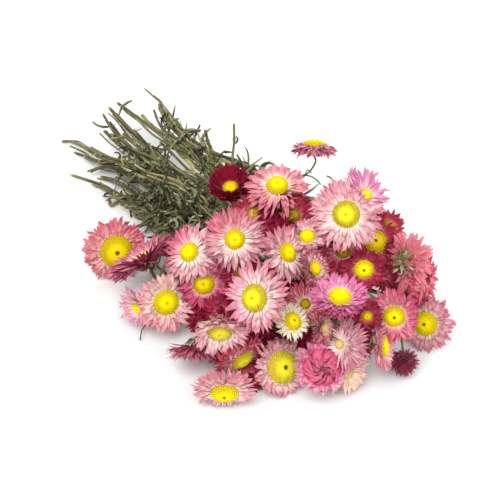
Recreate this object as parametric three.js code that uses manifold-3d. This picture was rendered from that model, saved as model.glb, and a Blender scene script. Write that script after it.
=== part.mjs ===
// A dried bunch of everlasting daisies lying on its side.
// Millimetres, +Z up. The cut stems point to the back left (-X, +Y), the flower heads lie
// in a heap to the front right. The table is z = 0.

import * as THREE from 'three';
import Module from 'manifold-3d';

const wasm = await Module();
wasm.setup();

// Driving sizes.
const viewTilt = 45;          // the places below are read from this far above the table, degrees
const viewDistance = 1000;    // and from this far away
const viewHeight = 35;        // height of the point looked at
const petalThickness = 0.75;
const gap = 0.3;              // left between pieces that touch
const stemRadius = 1.25;
const stemSides = 3;
const leafLength = 15;
const leafWidth = 3.4;
const leafCount = 58;
const leafDepth = 1.0;        // height of a leaf's folded section
const calyxDepth = 4.5;       // how far a head's back stands out behind its petals
const petalStart = 0.5;       // petals leave this far outside the disc
const hubHeight = 0.35;       // where the first layer of petals leaves the hub
const layerStep = 0.85;       // and each next layer this much higher
const layerTilt = 15;         // each next layer rises this much more, degrees
const upperReach = 0.86;      // length of the upper petals against the lower
const discDome = 0.45;        // height of a disc against its radius

const tones = {
  coral: '#dd8088', pale: '#e9bcc0', rose: '#cf5f7c', crimson: '#a8304a', burgundy: '#6b1024',
  orchid: '#d97db0', cream: '#ead9c6', salmon: '#e3929a', disc: '#ecd21c', olive: '#6f6f4c',
};

// One row for each flower head. A group of neighbours that grow into each other shares a name
// for its petals. The columns are:
// name, petal group, tone, [across, up, height] of the middle, [radius, disc radius],
// [lean away from the viewer, direction of the lean (0 right, 90 up)], rise of the petals.
const ownDisc = { disc: 'own' };
const smallDisc = { disc: 'fused', petals: 10, layerCount: 1 };
const heads = [
  head('coral_left', 'coral_left', 'coral', [-84, 0, 18.5], [21.5, 10.5], [32, -50], -12, ownDisc),
  head('side_left', 'side_left', 'crimson', [-67, -5, 34], [24, 6.5], [78, 120], 12, ownDisc),
  head('pale_left', 'pale_left', 'pale', [-53, -32, 26], [19.5, 8], [25, -10], 12, ownDisc),
  head('lilac_left', 'pale_left', 'orchid', [-69, -35, 20], [15, 4], [46, -125], 10, smallDisc),
  head('pink_back', 'pink_back', 'pale', [-37, -2, 48], [19.5, 6.2], [30, 145], -5, ownDisc),
  head('rose_left', 'rose_left', 'rose', [-29, -20, 34], [18, 7], [15, -90], 8, ownDisc),
  head('hidden_left', 'rose_left', 'crimson', [-5, -13, 40], [15, 4], [12, -90], 10, smallDisc),
  head('centre_back', 'centre_back', 'pale', [-9.5, 7, 62], [20, 6.2], [8, -90], 4, ownDisc),
  head('burgundy', 'burgundy', 'burgundy', [-12, 37.5, 48], [16.5, 5.3], [42, 125], 42, ownDisc),
  head('salmon_back', 'salmon_back', 'salmon', [17, 39, 63], [20, 7], [36, 90], -4, ownDisc),
  head('hidden_back_1', 'hidden_back', 'crimson', [27, 21, 51], [16, 4.5], [15, 90], 8, smallDisc),
  head('hidden_back_2', 'hidden_back', 'crimson', [2, 22, 50], [15.5, 4.5], [15, 90], 8, smallDisc),
  head('lone_back', 'lone_back', 'rose', [40, 64, 60], [15, 6.8], [80, 88], -12, ownDisc),
  head('great_pale', 'great_pale', 'pale', [60.5, 22.5, 84], [22.5, 8.2], [12, 200], 3, ownDisc),
  head('bright_back', 'bright_back', 'orchid', [71, 33, 64], [17, 4.6], [35, 45], 12, ownDisc),
  head('crimson_back', 'crimson_right', 'crimson', [77.5, 4.5, 54], [18, 7.5], [20, 60], 8, ownDisc),
  head('crimson_far', 'crimson_far', 'crimson', [86, 14, 47], [13, 4], [35, 50], 8, smallDisc),
  head('crimson_cup', 'crimson_cup', 'crimson', [71, -11, 63], [15, 6], [22, -90], 22, ownDisc),
  head('hidden_right', 'crimson_right', 'crimson', [58, 0, 56], [14.5, 4.5], [20, -90], 8, smallDisc),
  head('turned_away', 'coral_right', 'coral', [97.5, -7.5, 55], [17.5, 6], [130, 5], 5, { disc: 'none' }),
  head('coral_end', 'coral_right', 'coral', [107, -17, 45], [16.5, 5.5], [50, 0], 5, smallDisc),
  head('pink_right', 'pink_right', 'rose', [90, -40.5, 45], [18, 6.5], [20, -100], 12, ownDisc),
  head('pale_end', 'pale_end', 'pale', [110.5, -45.5, 15.5], [18.5, 7.6], [28, 200], -3, ownDisc),
  head('orchid', 'orchid', 'orchid', [56, -30, 70], [18, 7.2], [40, 88], 18, ownDisc),
  head('side_right', 'side_right', 'rose', [82.5, -60, 32], [16, 6.6], [66, 0], 18, ownDisc),
  head('cream_striped', 'cream_striped', 'cream', [57, -59, 36], [19, 5], [30, 175], 2, smallDisc),
  head('peach_low', 'cream_striped', 'cream', [60, -76, 16], [15, 4], [30, -45], 5, smallDisc),
  head('great_disc', 'great_disc', 'pale', [19, -73, 14], [18.5, 10], [35, 0], 4, ownDisc),
  head('cream_small', 'cream_small', 'cream', [25.5, -45, 46], [12, 5.6], [35, 30], 12, ownDisc),
  head('centre', 'centre', 'pale', [4, -30, 64], [21, 8.3], [30, 180], 4, ownDisc),
  head('pink_inner', 'pink_inner', 'salmon', [22, -2, 67], [18, 6], [40, 15], -3, ownDisc),
  head('pale_inner', 'pink_inner', 'salmon', [36, 7.5, 71], [13, 4.8], [30, 100], 12, ownDisc),
  head('edged_inner', 'pink_inner', 'salmon', [39, -12, 61], [12.5, 4.6], [45, 20], 18, ownDisc),
  head('draped', 'draped', 'pale', [-19, -50, 42], [17, 7.4], [54, -88], 26, ownDisc),
  head('crimson_front', 'crimson_front', 'crimson', [-6, -67, 19], [18, 7], [62, -55], -12, ownDisc),
  head('side_front', 'side_front', 'burgundy', [-34.5, -61, 21], [17, 4], [98, -95], 25, smallDisc),
  head('low_front', 'low_front', 'pale', [-16, -88, 18], [20.5, 8.4], [58, -90], -16, ownDisc),
  head('dark_inner_1', 'dark_inner', 'crimson', [45, -48, 44], [12, 3.6], [50, -10], 18, smallDisc),
  head('dark_inner_2', 'dark_inner', 'crimson', [58, -45, 43], [12, 3], [20, -90], 12, smallDisc),
  head('dark_inner_3', 'dark_inner', 'crimson', [72.5, -40.5, 47], [11, 3.2], [20, -60], 12, smallDisc),
  head('inner_left', 'inner_left', 'crimson', [35, -34, 45], [15, 3.4], [15, 150], 14, smallDisc),
];

// Heads of another build: a tight dark ball, and an incurved one whose petals close over the middle.
const ballHead = head('dark_ball', 'dark_ball', 'burgundy', [96, -70, 9.5], [10.5, 2.6], [60, -90], 20,
  { disc: 'none', petals: 8, layers: [[14, 0.95], [46, 0.9], [78, 0.8]] });
const closedHead = head('incurved', 'incurved', 'rose', [45, -73, 26], [17.5, 4.5], [15, -60], 0,
  { disc: 'none', petals: 10, layers: [[6, 1.0], [36, 0.8], [72, 0.62]] });

// Stem ends seen behind the heads: across, up, height.
const stemEnds = [
  [-117, 67, 1], [-110, 61, 4], [-112, 47, 0.6], [-99, 49, 8], [-92, 46, 1.5], [-88, 29, 0.6],
  [-72, 47, 12], [-92, 85, 24], [-88, 89, 27], [-83, 92, 22], [-67, 84, 18], [-60, 87, 26],
  [-57, 89, 20], [-66, 101, 30], [-91, 74, 14], [-97, 60, 12], [-84, 70, 17], [-78, 76, 22],
  [-80, 40, 1], [-70, 30, 2], [-9.5, 78, 44], [-28, 75, 33],
];

// Stems that run the whole way side by side: number of the cut end, places between, head.
const throughList = [
  [2, [[-91, 40, 2], [-77, 32, 4], [-63, 28, 7], [-51, 24.5, 12], [-30, -8, 19]], 'great_disc'],
  [1, [[-93, 55, 6], [-74, 50.5, 9], [-58, 41, 13], [-38, 32, 17], [10, 0, 20]], 'pale_end'],
  [7, [[-82, 70, 22], [-63, 55.5, 20], [-47, 46, 19], [-31, 36.5, 19.5]], 'centre'],
  [8, [[-74, 74, 23], [-58, 61, 21], [-43, 49, 20], [-26, 39.5, 21]], 'orchid'],
  [9, [[-69, 82, 22], [-51, 68, 22], [-39, 60, 22], [-17.5, 45.5, 23]], 'great_pale'],
  [12, [[-51, 79, 22], [-40, 68, 23], [-28.5, 58, 23.5], [-13, 49, 25]], 'burgundy'],
  [13, [[-54, 90, 29], [-43, 76, 27], [-29, 62, 26], [-8, 52.5, 27.5]], 'lone_back'],
];

// One stem crosses and holds all of them, from the head at the far left.
const crossing = {
  head: 'coral_left',
  places: [[-67.5, 15.5, 10], [-51, 24.5, 13], [-38, 32, 17.5], [-31, 36.5, 19.5], [-26, 39.5, 21],
    [-17.5, 45.5, 23.5], [-13, 49, 25], [-8, 52.5, 27.5]],
};

// Heads that lie loose on their neighbours, without a stem of their own.
const stemless = ['turned_away'];

function head(name, group, tone, place, size, facing, rise, extra) {
  const [across, up, height] = place;
  const [radius, disc] = size;
  const [lean, toward] = facing;
  return { name, group, tone, across, up, height, radius, discRadius: disc, lean, toward, rise, ...extra };
}

// A repeatable draw between 0 and 1.
function draws(seed) {
  let state = seed >>> 0;
  return () => {
    state = (state + 0x6d2b79f5) >>> 0;
    let t = Math.imul(state ^ (state >>> 15), 1 | state);
    t = (t + Math.imul(t ^ (t >>> 7), 61 | t)) ^ t;
    return ((t ^ (t >>> 14)) >>> 0) / 4294967296;
  };
}

const degrees = THREE.MathUtils.degToRad;
const sinTilt = Math.sin(degrees(viewTilt));
const cosTilt = Math.cos(degrees(viewTilt));

// The point at this place in the picture, this high above the table.
function placeAt(across, up, height) {
  let near = 0;
  for (let pass = 0; pass < 8; pass += 1) {
    const shrink = (viewDistance - near) / viewDistance;
    near = (height - viewHeight - shrink * up * cosTilt) / sinTilt;
  }
  const shrink = (viewDistance - near) / viewDistance;
  return new THREE.Vector3(across * shrink, up * shrink * sinTilt - near * cosTilt, height);
}

// The direction a head faces, from how far it leans away from the viewer and which way.
function facingOf(lean, toward) {
  const side = Math.sin(degrees(lean));
  const right = side * Math.cos(degrees(toward));
  const up = side * Math.sin(degrees(toward));
  const near = Math.cos(degrees(lean));
  return new THREE.Vector3(right, up * sinTilt - near * cosTilt, up * cosTilt + near * sinTilt);
}

function solidOf(points, faces) {
  const vertProperties = new Float32Array(points.length * 3);
  points.forEach((point, i) => vertProperties.set([point.x, point.y, point.z], 3 * i));
  const solid = new wasm.Manifold(new wasm.Mesh({
    numProp: 3, vertProperties, triVerts: new Uint32Array(faces.flat()),
  }));
  return solid;
}

// Faces between two closed rings of points, or a ring and one with half as many points.
function joinRings(faces, lower, upper) {
  const count = Math.max(lower.length, upper.length);
  for (let k = 0; k < count; k += 1) {
    const next = (k + 1) % count;
    const a = lower[lower.length === count ? k : Math.round(k / 2) % lower.length];
    const b = lower[lower.length === count ? next : Math.round(next / 2) % lower.length];
    const c = upper[upper.length === count ? k : Math.round(k / 2) % upper.length];
    const d = upper[upper.length === count ? next : Math.round(next / 2) % upper.length];
    if (a !== b) faces.push([a, b, d]);
    if (c !== d) faces.push([a, d, c]);
  }
}

// Layers of pointed petals round a hub, as one closed surface. The petals of each layer stand
// between those of the next.
function petalSolid(flower, grow) {
  const random = draws(flower.seed);
  const count = flower.petals || (flower.radius < 19 ? 10 : 11);
  const layers = flower.layers
    || [[flower.rise, 1.0], [flower.rise + layerTilt, upperReach]].slice(0, flower.layerCount);
  const start = flower.discRadius + petalStart;
  const thickness = petalThickness + 2 * grow;
  const points = [];
  const faces = [];
  const point = (angle, r, z) => {
    points.push(new THREE.Vector3(r * Math.cos(angle), r * Math.sin(angle), z));
    return points.length - 1;
  };
  const step = Math.PI / count;
  const hub = (z) => Array.from({ length: count }, (_, k) => point(2 * k * step, start, z));
  const cap = (ring, centre, upward) => ring.forEach((a, k) => {
    const b = ring[(k + 1) % ring.length];
    faces.push(upward ? [a, b, centre] : [b, a, centre]);
  });

  const back = point(0, 0, -calyxDepth - grow);
  let ring = hub(-0.6 - grow);
  cap(ring, back, false);
  layers.forEach(([rise, reach], layer) => {
    const under = [];
    const over = [];
    for (let k = 0; k < 2 * count; k += 1) {
      const tip = (k + layer) % 2 === 0;
      const wobble = (random() - 0.5) * (tip ? 0.5 : 0.2) * step;
      const bend = degrees(rise + (random() - 0.5) * (tip ? 8 : 3) - (tip ? 0 : 3));
      const full = (flower.radius * reach - start) * (tip ? 1 + 0.12 * (random() - 0.5) : 0.5);
      const length = full + (tip ? 3 : 2) * grow;
      const r = start + length * Math.cos(bend);
      const z = hubHeight + layerStep * layer + length * Math.sin(bend);
      over.push(point(k * step + wobble, r, z + grow * Math.cos(bend)));
      under.push(point(k * step + wobble, r + thickness * Math.sin(bend) * 0.8,
        z + grow * Math.cos(bend) - thickness * Math.cos(bend)));
    }
    const last = layer === layers.length - 1;
    const nextRing = hub(hubHeight + layerStep * layer + (last ? layerStep + grow : 0));
    joinRings(faces, ring, under);
    joinRings(faces, under, over);
    joinRings(faces, over, nextRing);
    ring = nextRing;
  });
  const top = hubHeight + layerStep * layers.length;
  const fusedDome = flower.disc === 'fused' ? flower.discRadius * 0.7 : -0.2;
  cap(ring, point(0, 0, top + fusedDome + grow), true);
  return solidOf(points.map((p) => p.applyMatrix4(flower.matrix)), faces);
}

// The domed yellow disc, sitting just clear of the petals.
function discSolid(flower, grow) {
  const sides = 10;
  const base = hubHeight + 2 * layerStep + gap - grow;
  const rows = [[1.0, 0], [0.86, 0.64], [0.5, 1.0]];
  const points = [];
  const faces = [];
  const radius = flower.discRadius + grow;
  const rise = (z) => discDome * z * flower.discRadius + (z > 0 ? 2 * grow : 0);
  const ring = ([r, z]) => Array.from({ length: sides }, (_, k) => {
    const angle = (2 * Math.PI * k) / sides;
    points.push(new THREE.Vector3(radius * r * Math.cos(angle), radius * r * Math.sin(angle),
      base + rise(z)));
    return points.length - 1;
  });
  const rings = rows.map(ring);
  points.push(new THREE.Vector3(0, 0, base), new THREE.Vector3(0, 0, base + rise(1.12)));
  const [low, high] = [points.length - 2, points.length - 1];
  rings[0].forEach((a, k) => faces.push([rings[0][(k + 1) % sides], a, low]));
  joinRings(faces, rings[0], rings[1]);
  joinRings(faces, rings[1], rings[2]);
  rings[2].forEach((a, k) => faces.push([a, rings[2][(k + 1) % sides], high]));
  return solidOf(points.map((p) => p.applyMatrix4(flower.matrix)), faces);
}

// A tube with flat sides along a line of points.
function tube(path, radius, sides) {
  const points = [];
  const faces = [];
  let side = new THREE.Vector3(0, 0, 1);
  const rings = path.map((middle, i) => {
    const before = path[Math.max(i - 1, 0)];
    const after = path[Math.min(i + 1, path.length - 1)];
    const along = after.clone().sub(before).normalize();
    side.addScaledVector(along, -side.dot(along)).normalize();
    const cross = along.clone().cross(side);
    return Array.from({ length: sides }, (_, k) => {
      const angle = (2 * Math.PI * k) / sides;
      points.push(middle.clone()
        .addScaledVector(side, radius * Math.cos(angle))
        .addScaledVector(cross, radius * Math.sin(angle)));
      return points.length - 1;
    });
  });
  for (let i = 0; i + 1 < rings.length; i += 1) joinRings(faces, rings[i], rings[i + 1]);
  const first = rings[0];
  const last = rings[rings.length - 1];
  for (let k = 1; k + 1 < sides; k += 1) {
    faces.push([first[0], first[k + 1], first[k]]);
    faces.push([last[0], last[k], last[k + 1]]);
  }
  return solidOf(points, faces);
}

// A narrow leaf folded along its middle: broad near the root, pointed, curling to one side.
function leaf(root, direction, drop, length, width) {
  const along = direction.clone().normalize();
  const across = new THREE.Vector3(0, 0, 1).cross(along).normalize();
  const upward = along.clone().cross(across).normalize();
  const at = (t, w, h) => root.clone()
    .addScaledVector(along, length * t)
    .addScaledVector(across, w)
    .addScaledVector(upward, h)
    .add(new THREE.Vector3(0, 0, -drop * t * t));
  const points = [
    at(0, -width * 0.3, 0), at(0, width * 0.3, 0), at(0, 0, leafDepth),
    at(0.45, -width * 0.5, 0), at(0.45, width * 0.5, 0), at(0.45, 0, leafDepth),
    at(1, 0, leafDepth * 0.5),
  ];
  const faces = [[0, 2, 1], [0, 1, 4], [0, 4, 3], [1, 2, 5], [1, 5, 4], [2, 0, 3], [2, 3, 5],
    [3, 4, 6], [4, 5, 6], [5, 3, 6]];
  const solid = solidOf(points, faces);
  return solid.volume() > 0 ? solid : solidOf(points, faces.map((f) => [f[0], f[2], f[1]]));
}

// The largest closed shell of a solid, without crumbs cut loose or hollows sealed by joining.
function mainBody(solid) {
  const mesh = solid.getMesh();
  const count = mesh.vertProperties.length / mesh.numProp;
  const owner = Array.from({ length: count }, (_, i) => i);
  const find = (i) => {
    let root = i;
    while (owner[root] !== root) root = owner[root];
    while (owner[i] !== root) [owner[i], i] = [root, owner[i]];
    return root;
  };
  const tri = mesh.triVerts;
  for (let t = 0; t < tri.length; t += 3) {
    owner[find(tri[t])] = find(tri[t + 1]);
    owner[find(tri[t + 1])] = find(tri[t + 2]);
  }
  const merge = mesh.mergeFromVert || [];
  merge.forEach((from, i) => { owner[find(from)] = find(mesh.mergeToVert[i]); });
  const at = (i) => new THREE.Vector3().fromArray(mesh.vertProperties, mesh.numProp * i);
  const volumes = new Map();
  for (let t = 0; t < tri.length; t += 3) {
    const shell = find(tri[t]);
    const volume = at(tri[t]).dot(at(tri[t + 1]).cross(at(tri[t + 2]))) / 6;
    volumes.set(shell, (volumes.get(shell) || 0) + volume);
  }
  const [best] = [...volumes.entries()].sort((a, b) => b[1] - a[1])[0];
  const kept = [];
  for (let t = 0; t < tri.length; t += 3) {
    if (find(tri[t]) === best) kept.push(tri[t], tri[t + 1], tri[t + 2]);
  }
  return new wasm.Manifold(new wasm.Mesh({
    numProp: mesh.numProp, vertProperties: mesh.vertProperties, triVerts: new Uint32Array(kept),
  }));
}

const everyHead = [...heads, ballHead, closedHead];
everyHead.forEach((flower, i) => {
  flower.seed = 101 + 17 * i;
  flower.centre = placeAt(flower.across, flower.up, flower.height);
  flower.axis = facingOf(flower.lean, flower.toward);
  const turn = new THREE.Quaternion().setFromUnitVectors(new THREE.Vector3(0, 0, 1), flower.axis);
  flower.matrix = new THREE.Matrix4().compose(flower.centre, turn, new THREE.Vector3(1, 1, 1));
});

// The point and direction in which a stem comes up behind its head.
function footOf(flower) {
  const foot = flower.centre.clone().addScaledVector(flower.axis, -calyxDepth - gap - 0.1);
  foot.z = Math.max(foot.z, 2);
  const under = foot.clone().addScaledVector(flower.axis, -0.5 * flower.radius - 8);
  under.z = Math.max(Math.min(under.z, foot.z), 3);
  return { foot, under };
}

function stemPath(curve, steps) {
  return curve.getPoints(steps).map((p) => {
    p.z = Math.max(p.z, stemRadius / 2);
    return p;
  });
}

// The through stems run from a cut end to a head, and the crossing stem touches each of them.
function throughStems() {
  const rows = throughList.map(([endNumber, between, headName]) => {
    const flower = everyHead.find((each) => each.name === headName);
    const { foot, under } = footOf(flower);
    const places = [stemEnds[endNumber], ...between].map((place) => placeAt(...place));
    return [...places, under, foot];
  });
  const { foot, under } = footOf(everyHead.find((each) => each.name === crossing.head));
  rows.push([foot, under, ...crossing.places.map((place) => placeAt(...place))]);
  return rows.map((points) => {
    const curve = new THREE.CatmullRomCurve3(points, false, 'centripetal');
    return { path: stemPath(curve, points.length + 1), taken: [] };
  });
}

// The point and direction a share t of the way along a bent line.
function pointAlong(path, t) {
  const place = t * (path.length - 1);
  const i = Math.min(Math.floor(place), path.length - 2);
  return {
    start: path[i].clone().lerp(path[i + 1], place - i),
    way: path[i + 1].clone().sub(path[i]).normalize(),
  };
}

// A side stem leaves the nearest free place on a through stem, without a sharp turn.
function sideStem(trunks, target, before, from, to, backward) {
  let best = null;
  trunks.forEach(({ path, taken }) => {
    for (let t = from; t < to; t += 0.035) {
      if (taken.some((other) => Math.abs(other - t) < 0.03)) continue;
      const { start, way } = pointAlong(path, t);
      if (backward) way.negate();
      const away = target.distanceTo(start);
      const cost = away + 45 * way.angleTo(target.clone().sub(start));
      if (away > 16 && (!best || cost < best.cost)) best = { cost, start, t, taken };
    }
  });
  best.taken.push(best.t);
  if (!before) return { path: [best.start, best.start.clone().lerp(target, 0.5), target] };
  const curve = new THREE.CatmullRomCurve3([best.start, before, target], false, 'centripetal');
  return { path: stemPath(curve, 3) };
}

const trunks = throughStems();
const carried = [crossing.head, ...stemless, ...throughList.map(([, , headName]) => headName)];
const headStems = everyHead
  .filter((flower) => !carried.includes(flower.name))
  .map((flower) => {
    const { foot, under } = footOf(flower);
    return sideStem(trunks.slice(0, -1), foot, under, 0.5, 0.88, false);
  });
const tailStems = stemEnds
  .filter((end, i) => !throughList.some(([number]) => number === i))
  .map((end) => sideStem(trunks.slice(0, -1), placeAt(...end), null, 0.14, 0.5, true));
const stems = [...trunks, ...headStems, ...tailStems];
const leafy = [
  ...trunks.map(({ path }) => ({ path, range: [0.05, 0.6] })),
  ...tailStems.map(({ path }) => ({ path, range: [0.1, 0.9] })),
  ...headStems.filter(({ path }) => path[path.length - 1].x < 0)
    .map(({ path }) => ({ path, range: [0.1, 0.6] })),
];
let stemSolid = null;
stems.forEach(({ path }) => {
  const solid = tube(path, stemRadius, stemSides);
  stemSolid = stemSolid ? stemSolid.add(solid) : solid;
});

function touches(a, b) {
  const boxA = a.boundingBox();
  const boxB = b.boundingBox();
  return [0, 1, 2].every((k) => boxA.min[k] < boxB.max[k] && boxB.min[k] < boxA.max[k]);
}

const headShapes = everyHead.flatMap((flower) => (flower.disc === 'own'
  ? [petalSolid(flower, gap), discSolid(flower, gap)] : [petalSolid(flower, gap)]));

function hitsHead(solid) {
  return headShapes.some((shape) => touches(solid, shape) && solid.intersect(shape).numTri() > 0);
}

// Shrivelled leaves along the cut end of the bunch. One that would reach a head, or tangle with
// many stems, is drawn again somewhere else.
function addLeaves(solid) {
  const random = draws(23);
  const most = 28;
  let grown = solid;
  for (let i = 0; i < leafCount; i += 1) {
    for (let tries = 0; tries < 20; tries += 1) {
      const { path, range } = leafy[Math.floor(random() * leafy.length)];
      const { start, way } = pointAlong(path, range[0] + (range[1] - range[0]) * random());
      const turn = 2 * Math.PI * random();
      const side = new THREE.Vector3(Math.cos(turn), Math.sin(turn), 0.9 * (random() - 0.3));
      const direction = way.multiplyScalar(random() < 0.7 ? 0.7 : -0.5).add(side.multiplyScalar(0.7));
      const length = leafLength * (0.6 + 0.7 * random());
      const drop = 5 * (random() - 0.3);
      start.z = Math.max(start.z, 1.2);
      const tipHeight = start.z + direction.clone().normalize().z * length - drop;
      if (tipHeight < 0.4) direction.z += (0.4 - tipHeight) / length + 0.05;
      const blade = leaf(start, direction, drop, length, leafWidth * (0.7 + 0.5 * random()));
      const next = grown.add(blade);
      if (next.numTri() - grown.numTri() < most && !hitsHead(blade)) {
        grown = next;
        break;
      }
    }
  }
  return grown;
}

function slabBelowTable() {
  const corner = (x, y, z) => new THREE.Vector3(300 * x, 300 * y, z);
  const points = [corner(-1, -1, -100), corner(1, -1, -100), corner(1, 1, -100), corner(-1, 1, -100),
    corner(-1, -1, 0), corner(1, -1, 0), corner(1, 1, 0), corner(-1, 1, 0)];
  return solidOf(points, [[0, 2, 1], [0, 3, 2], [4, 5, 6], [4, 6, 7], [0, 1, 5], [0, 5, 4],
    [1, 2, 6], [1, 6, 5], [2, 3, 7], [2, 7, 6], [3, 0, 4], [3, 4, 7]]);
}

const slab = slabBelowTable();
const greenery = mainBody(addLeaves(stemSolid).subtract(slab).simplify(0.1));

// A head nearer the outside of the heap keeps its shape, and those behind are cut clear of it.
const eye = new THREE.Vector3(0, -viewDistance * cosTilt, viewHeight + viewDistance * sinTilt);
const outward = (flower) => eye.distanceTo(flower.centre);
const ordered = [...everyHead].sort((a, b) => outward(a) - outward(b));

const stemCutters = stems.map(({ path }) => tube(path, stemRadius + gap, stemSides));
const cutters = [];
const petalParts = new Map();
const discParts = [];
ordered.forEach((flower) => {
  let petals = petalSolid(flower, 0);
  cutters.forEach((cutter) => {
    if (cutter.group !== flower.group && touches(petals, cutter.solid)) {
      petals = petals.subtract(cutter.solid);
    }
  });
  stemCutters.forEach((cutter) => {
    if (touches(petals, cutter)) petals = petals.subtract(cutter);
  });
  if (flower.disc === 'own') {
    let disc = discSolid(flower, 0);
    cutters.forEach((cutter) => {
      if (touches(disc, cutter.solid)) disc = disc.subtract(cutter.solid);
    });
    discParts.push([flower, disc]);
    cutters.push({ group: '', solid: discSolid(flower, gap) });
  }
  cutters.push({ group: flower.group, solid: petalSolid(flower, gap) });
  const list = petalParts.get(flower.group) || [];
  list.push([flower, petals]);
  petalParts.set(flower.group, list);
});

function meshOf(name, solid, colour, roughness) {
  const mesh = solid.getMesh();
  const geometry = new THREE.BufferGeometry();
  geometry.setAttribute('position', new THREE.BufferAttribute(mesh.vertProperties, 3));
  geometry.setIndex(new THREE.BufferAttribute(mesh.triVerts, 1));
  geometry.computeVertexNormals();
  const material = new THREE.MeshStandardMaterial({ color: colour, roughness, metalness: 0 });
  const made = new THREE.Mesh(geometry, material);
  made.name = name;
  return made;
}

const bunch = new THREE.Group();
bunch.add(meshOf('stems_and_leaves', greenery, tones.olive, 0.85));
petalParts.forEach((list, group) => {
  let whole = list[0][1];
  list.slice(1).forEach(([, solid]) => { whole = whole.add(solid); });
  const body = mainBody(whole.subtract(slab).simplify(0.03));
  bunch.add(meshOf(`petals_${group}`, body, tones[list[0][0].tone], 0.7));
});
discParts.forEach(([flower, disc]) => {
  bunch.add(meshOf(`disc_${flower.name}`, mainBody(disc.subtract(slab)), tones.disc, 0.8));
});

// The origin is under the middle of the bunch.
const around = new THREE.Box3().setFromObject(bunch, true);
const centre = around.getCenter(new THREE.Vector3());
bunch.position.set(-centre.x, -centre.y, -around.min.z);

export default bunch;
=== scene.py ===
import math
import random

import bmesh
import bpy
import numpy as np
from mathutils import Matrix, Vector


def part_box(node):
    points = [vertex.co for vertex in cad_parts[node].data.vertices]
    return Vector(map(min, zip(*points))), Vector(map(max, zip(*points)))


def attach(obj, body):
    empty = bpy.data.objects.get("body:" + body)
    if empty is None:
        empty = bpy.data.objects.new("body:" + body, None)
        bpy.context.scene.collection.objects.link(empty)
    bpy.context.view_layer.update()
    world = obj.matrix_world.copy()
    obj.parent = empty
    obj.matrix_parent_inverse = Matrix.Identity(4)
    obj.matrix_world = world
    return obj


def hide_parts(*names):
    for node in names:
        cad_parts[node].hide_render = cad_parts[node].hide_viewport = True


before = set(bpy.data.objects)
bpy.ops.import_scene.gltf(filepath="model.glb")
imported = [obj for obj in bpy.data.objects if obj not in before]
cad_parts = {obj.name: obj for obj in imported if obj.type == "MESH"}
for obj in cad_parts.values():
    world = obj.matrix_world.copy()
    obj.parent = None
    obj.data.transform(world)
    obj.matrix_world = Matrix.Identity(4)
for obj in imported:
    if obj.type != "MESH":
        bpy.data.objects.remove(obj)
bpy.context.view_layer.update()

mm = 0.001

# The bunch is laid out as it is seen: across and up in the picture, and height over the table.
view = {"tilt": 45, "distance": 1000, "height": 35, "lens": 115.2}
sinTilt = math.sin(math.radians(view["tilt"]))
cosTilt = math.cos(math.radians(view["tilt"]))


def rawPlace(across, up, height):
    near = 0
    for _ in range(8):
        shrink = (view["distance"] - near) / view["distance"]
        near = (height - view["height"] - shrink * up * cosTilt) / sinTilt
    shrink = (view["distance"] - near) / view["distance"]
    return np.array([across * shrink, up * shrink * sinTilt - near * cosTilt, height])


def facingOf(lean, toward):
    side = math.sin(math.radians(lean))
    right = side * math.cos(math.radians(toward))
    up = side * math.sin(math.radians(toward))
    near = math.cos(math.radians(lean))
    return np.array([right, up * sinTilt - near * cosTilt, up * cosTilt + near * sinTilt])


def turnFor(axis):
    turn = Vector((0, 0, 1)).rotation_difference(Vector(axis))
    return np.array(turn.to_matrix())


# Petal colours: base next to the disc, middle, tip, and the outer side of the petal, which is also the
# colour of the painted shade where a head gives no dark.
papers = {
    "coral": ("#f7d8c8", "#eba3a6", "#d25c6e", "#ac4254"),
    "salmon": ("#f8e0d0", "#e9a4aa", "#ce5f74", "#b2465a"),
    "pale": ("#f8eadd", "#e7b0ba", "#ca5e7e", "#a84464"),
    "peachPale": ("#fdf5e8", "#fbdcd4", "#e58c9a", "#d07c90"),
    "whitePale": ("#fbf2e4", "#f3d2d0", "#d9788e", "#b95a74"),
    "pink": ("#fae9db", "#f0a8b6", "#d2547a", "#b04464"),
    "rose": ("#f3bcc6", "#df5c84", "#c23460", "#98244a"),
    "pinkRose": ("#f8dccd", "#e87e98", "#cb4a6e", "#a4325a"),
    "dustyRose": ("#f8dcd6", "#e590a4", "#c4587a", "#a84a68"),
    "sideRose": ("#f8e2d4", "#e89fb0", "#bb2c5c", "#8c1444"),
    "sidePale": ("#fdf2e8", "#f8d2d2", "#de6286", "#b63a60"),
    "lilacPale": ("#f9e8e2", "#f0c4cc", "#da85a2", "#c27090"),
    "draped": ("#fffaf0", "#fce6e0", "#e78ea2", "#d27a90"),
    "crimson": ("#d67e88", "#b62248", "#921434", "#741028"),
    "crimsonEdge": ("#f8dcd2", "#d84a6a", "#b02248", "#98203e"),
    "burgundy": ("#b8405f", "#9c143a", "#86102f", "#941638"),
    "maroon": ("#bd9486", "#821c3e", "#b85a74", "#761636"),
    "orchid": ("#f5d3de", "#e591b9", "#cb5890", "#b03a70"),
    "brightOrchid": ("#f6dbe2", "#eba3c4", "#d56f9e", "#b85884"),
    "lilac": ("#f7dade", "#e9a3bb", "#cc5f8c", "#a8446e"),
    "cream": ("#faf4c8", "#faf3dc", "#f3ded0", "#e6cfb4"),
    "striped": ("#f8efd8", "#f6d3d8", "#dd6f94", "#b84f76"),
    "peach": ("#faecd6", "#f6dcc6", "#eec0b2", "#dfaaa0"),
    "coralRed": ("#f5bdb4", "#e2697f", "#cc4060", "#a42c4a"),
    "edged": ("#f8e4d6", "#cf5a70", "#a52c4a", "#94263f"),
    "incurved": ("#dc668c", "#e08cac", "#f0c0d0", "#d8486e"),
    "coralBack": ("#d9a08c", "#e6808f", "#f6b9ba", "#dd6a7e"),
    "sideFront": ("#6a2030", "#cc4c64", "#ee9aa6", "#c2485e"),
}

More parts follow.
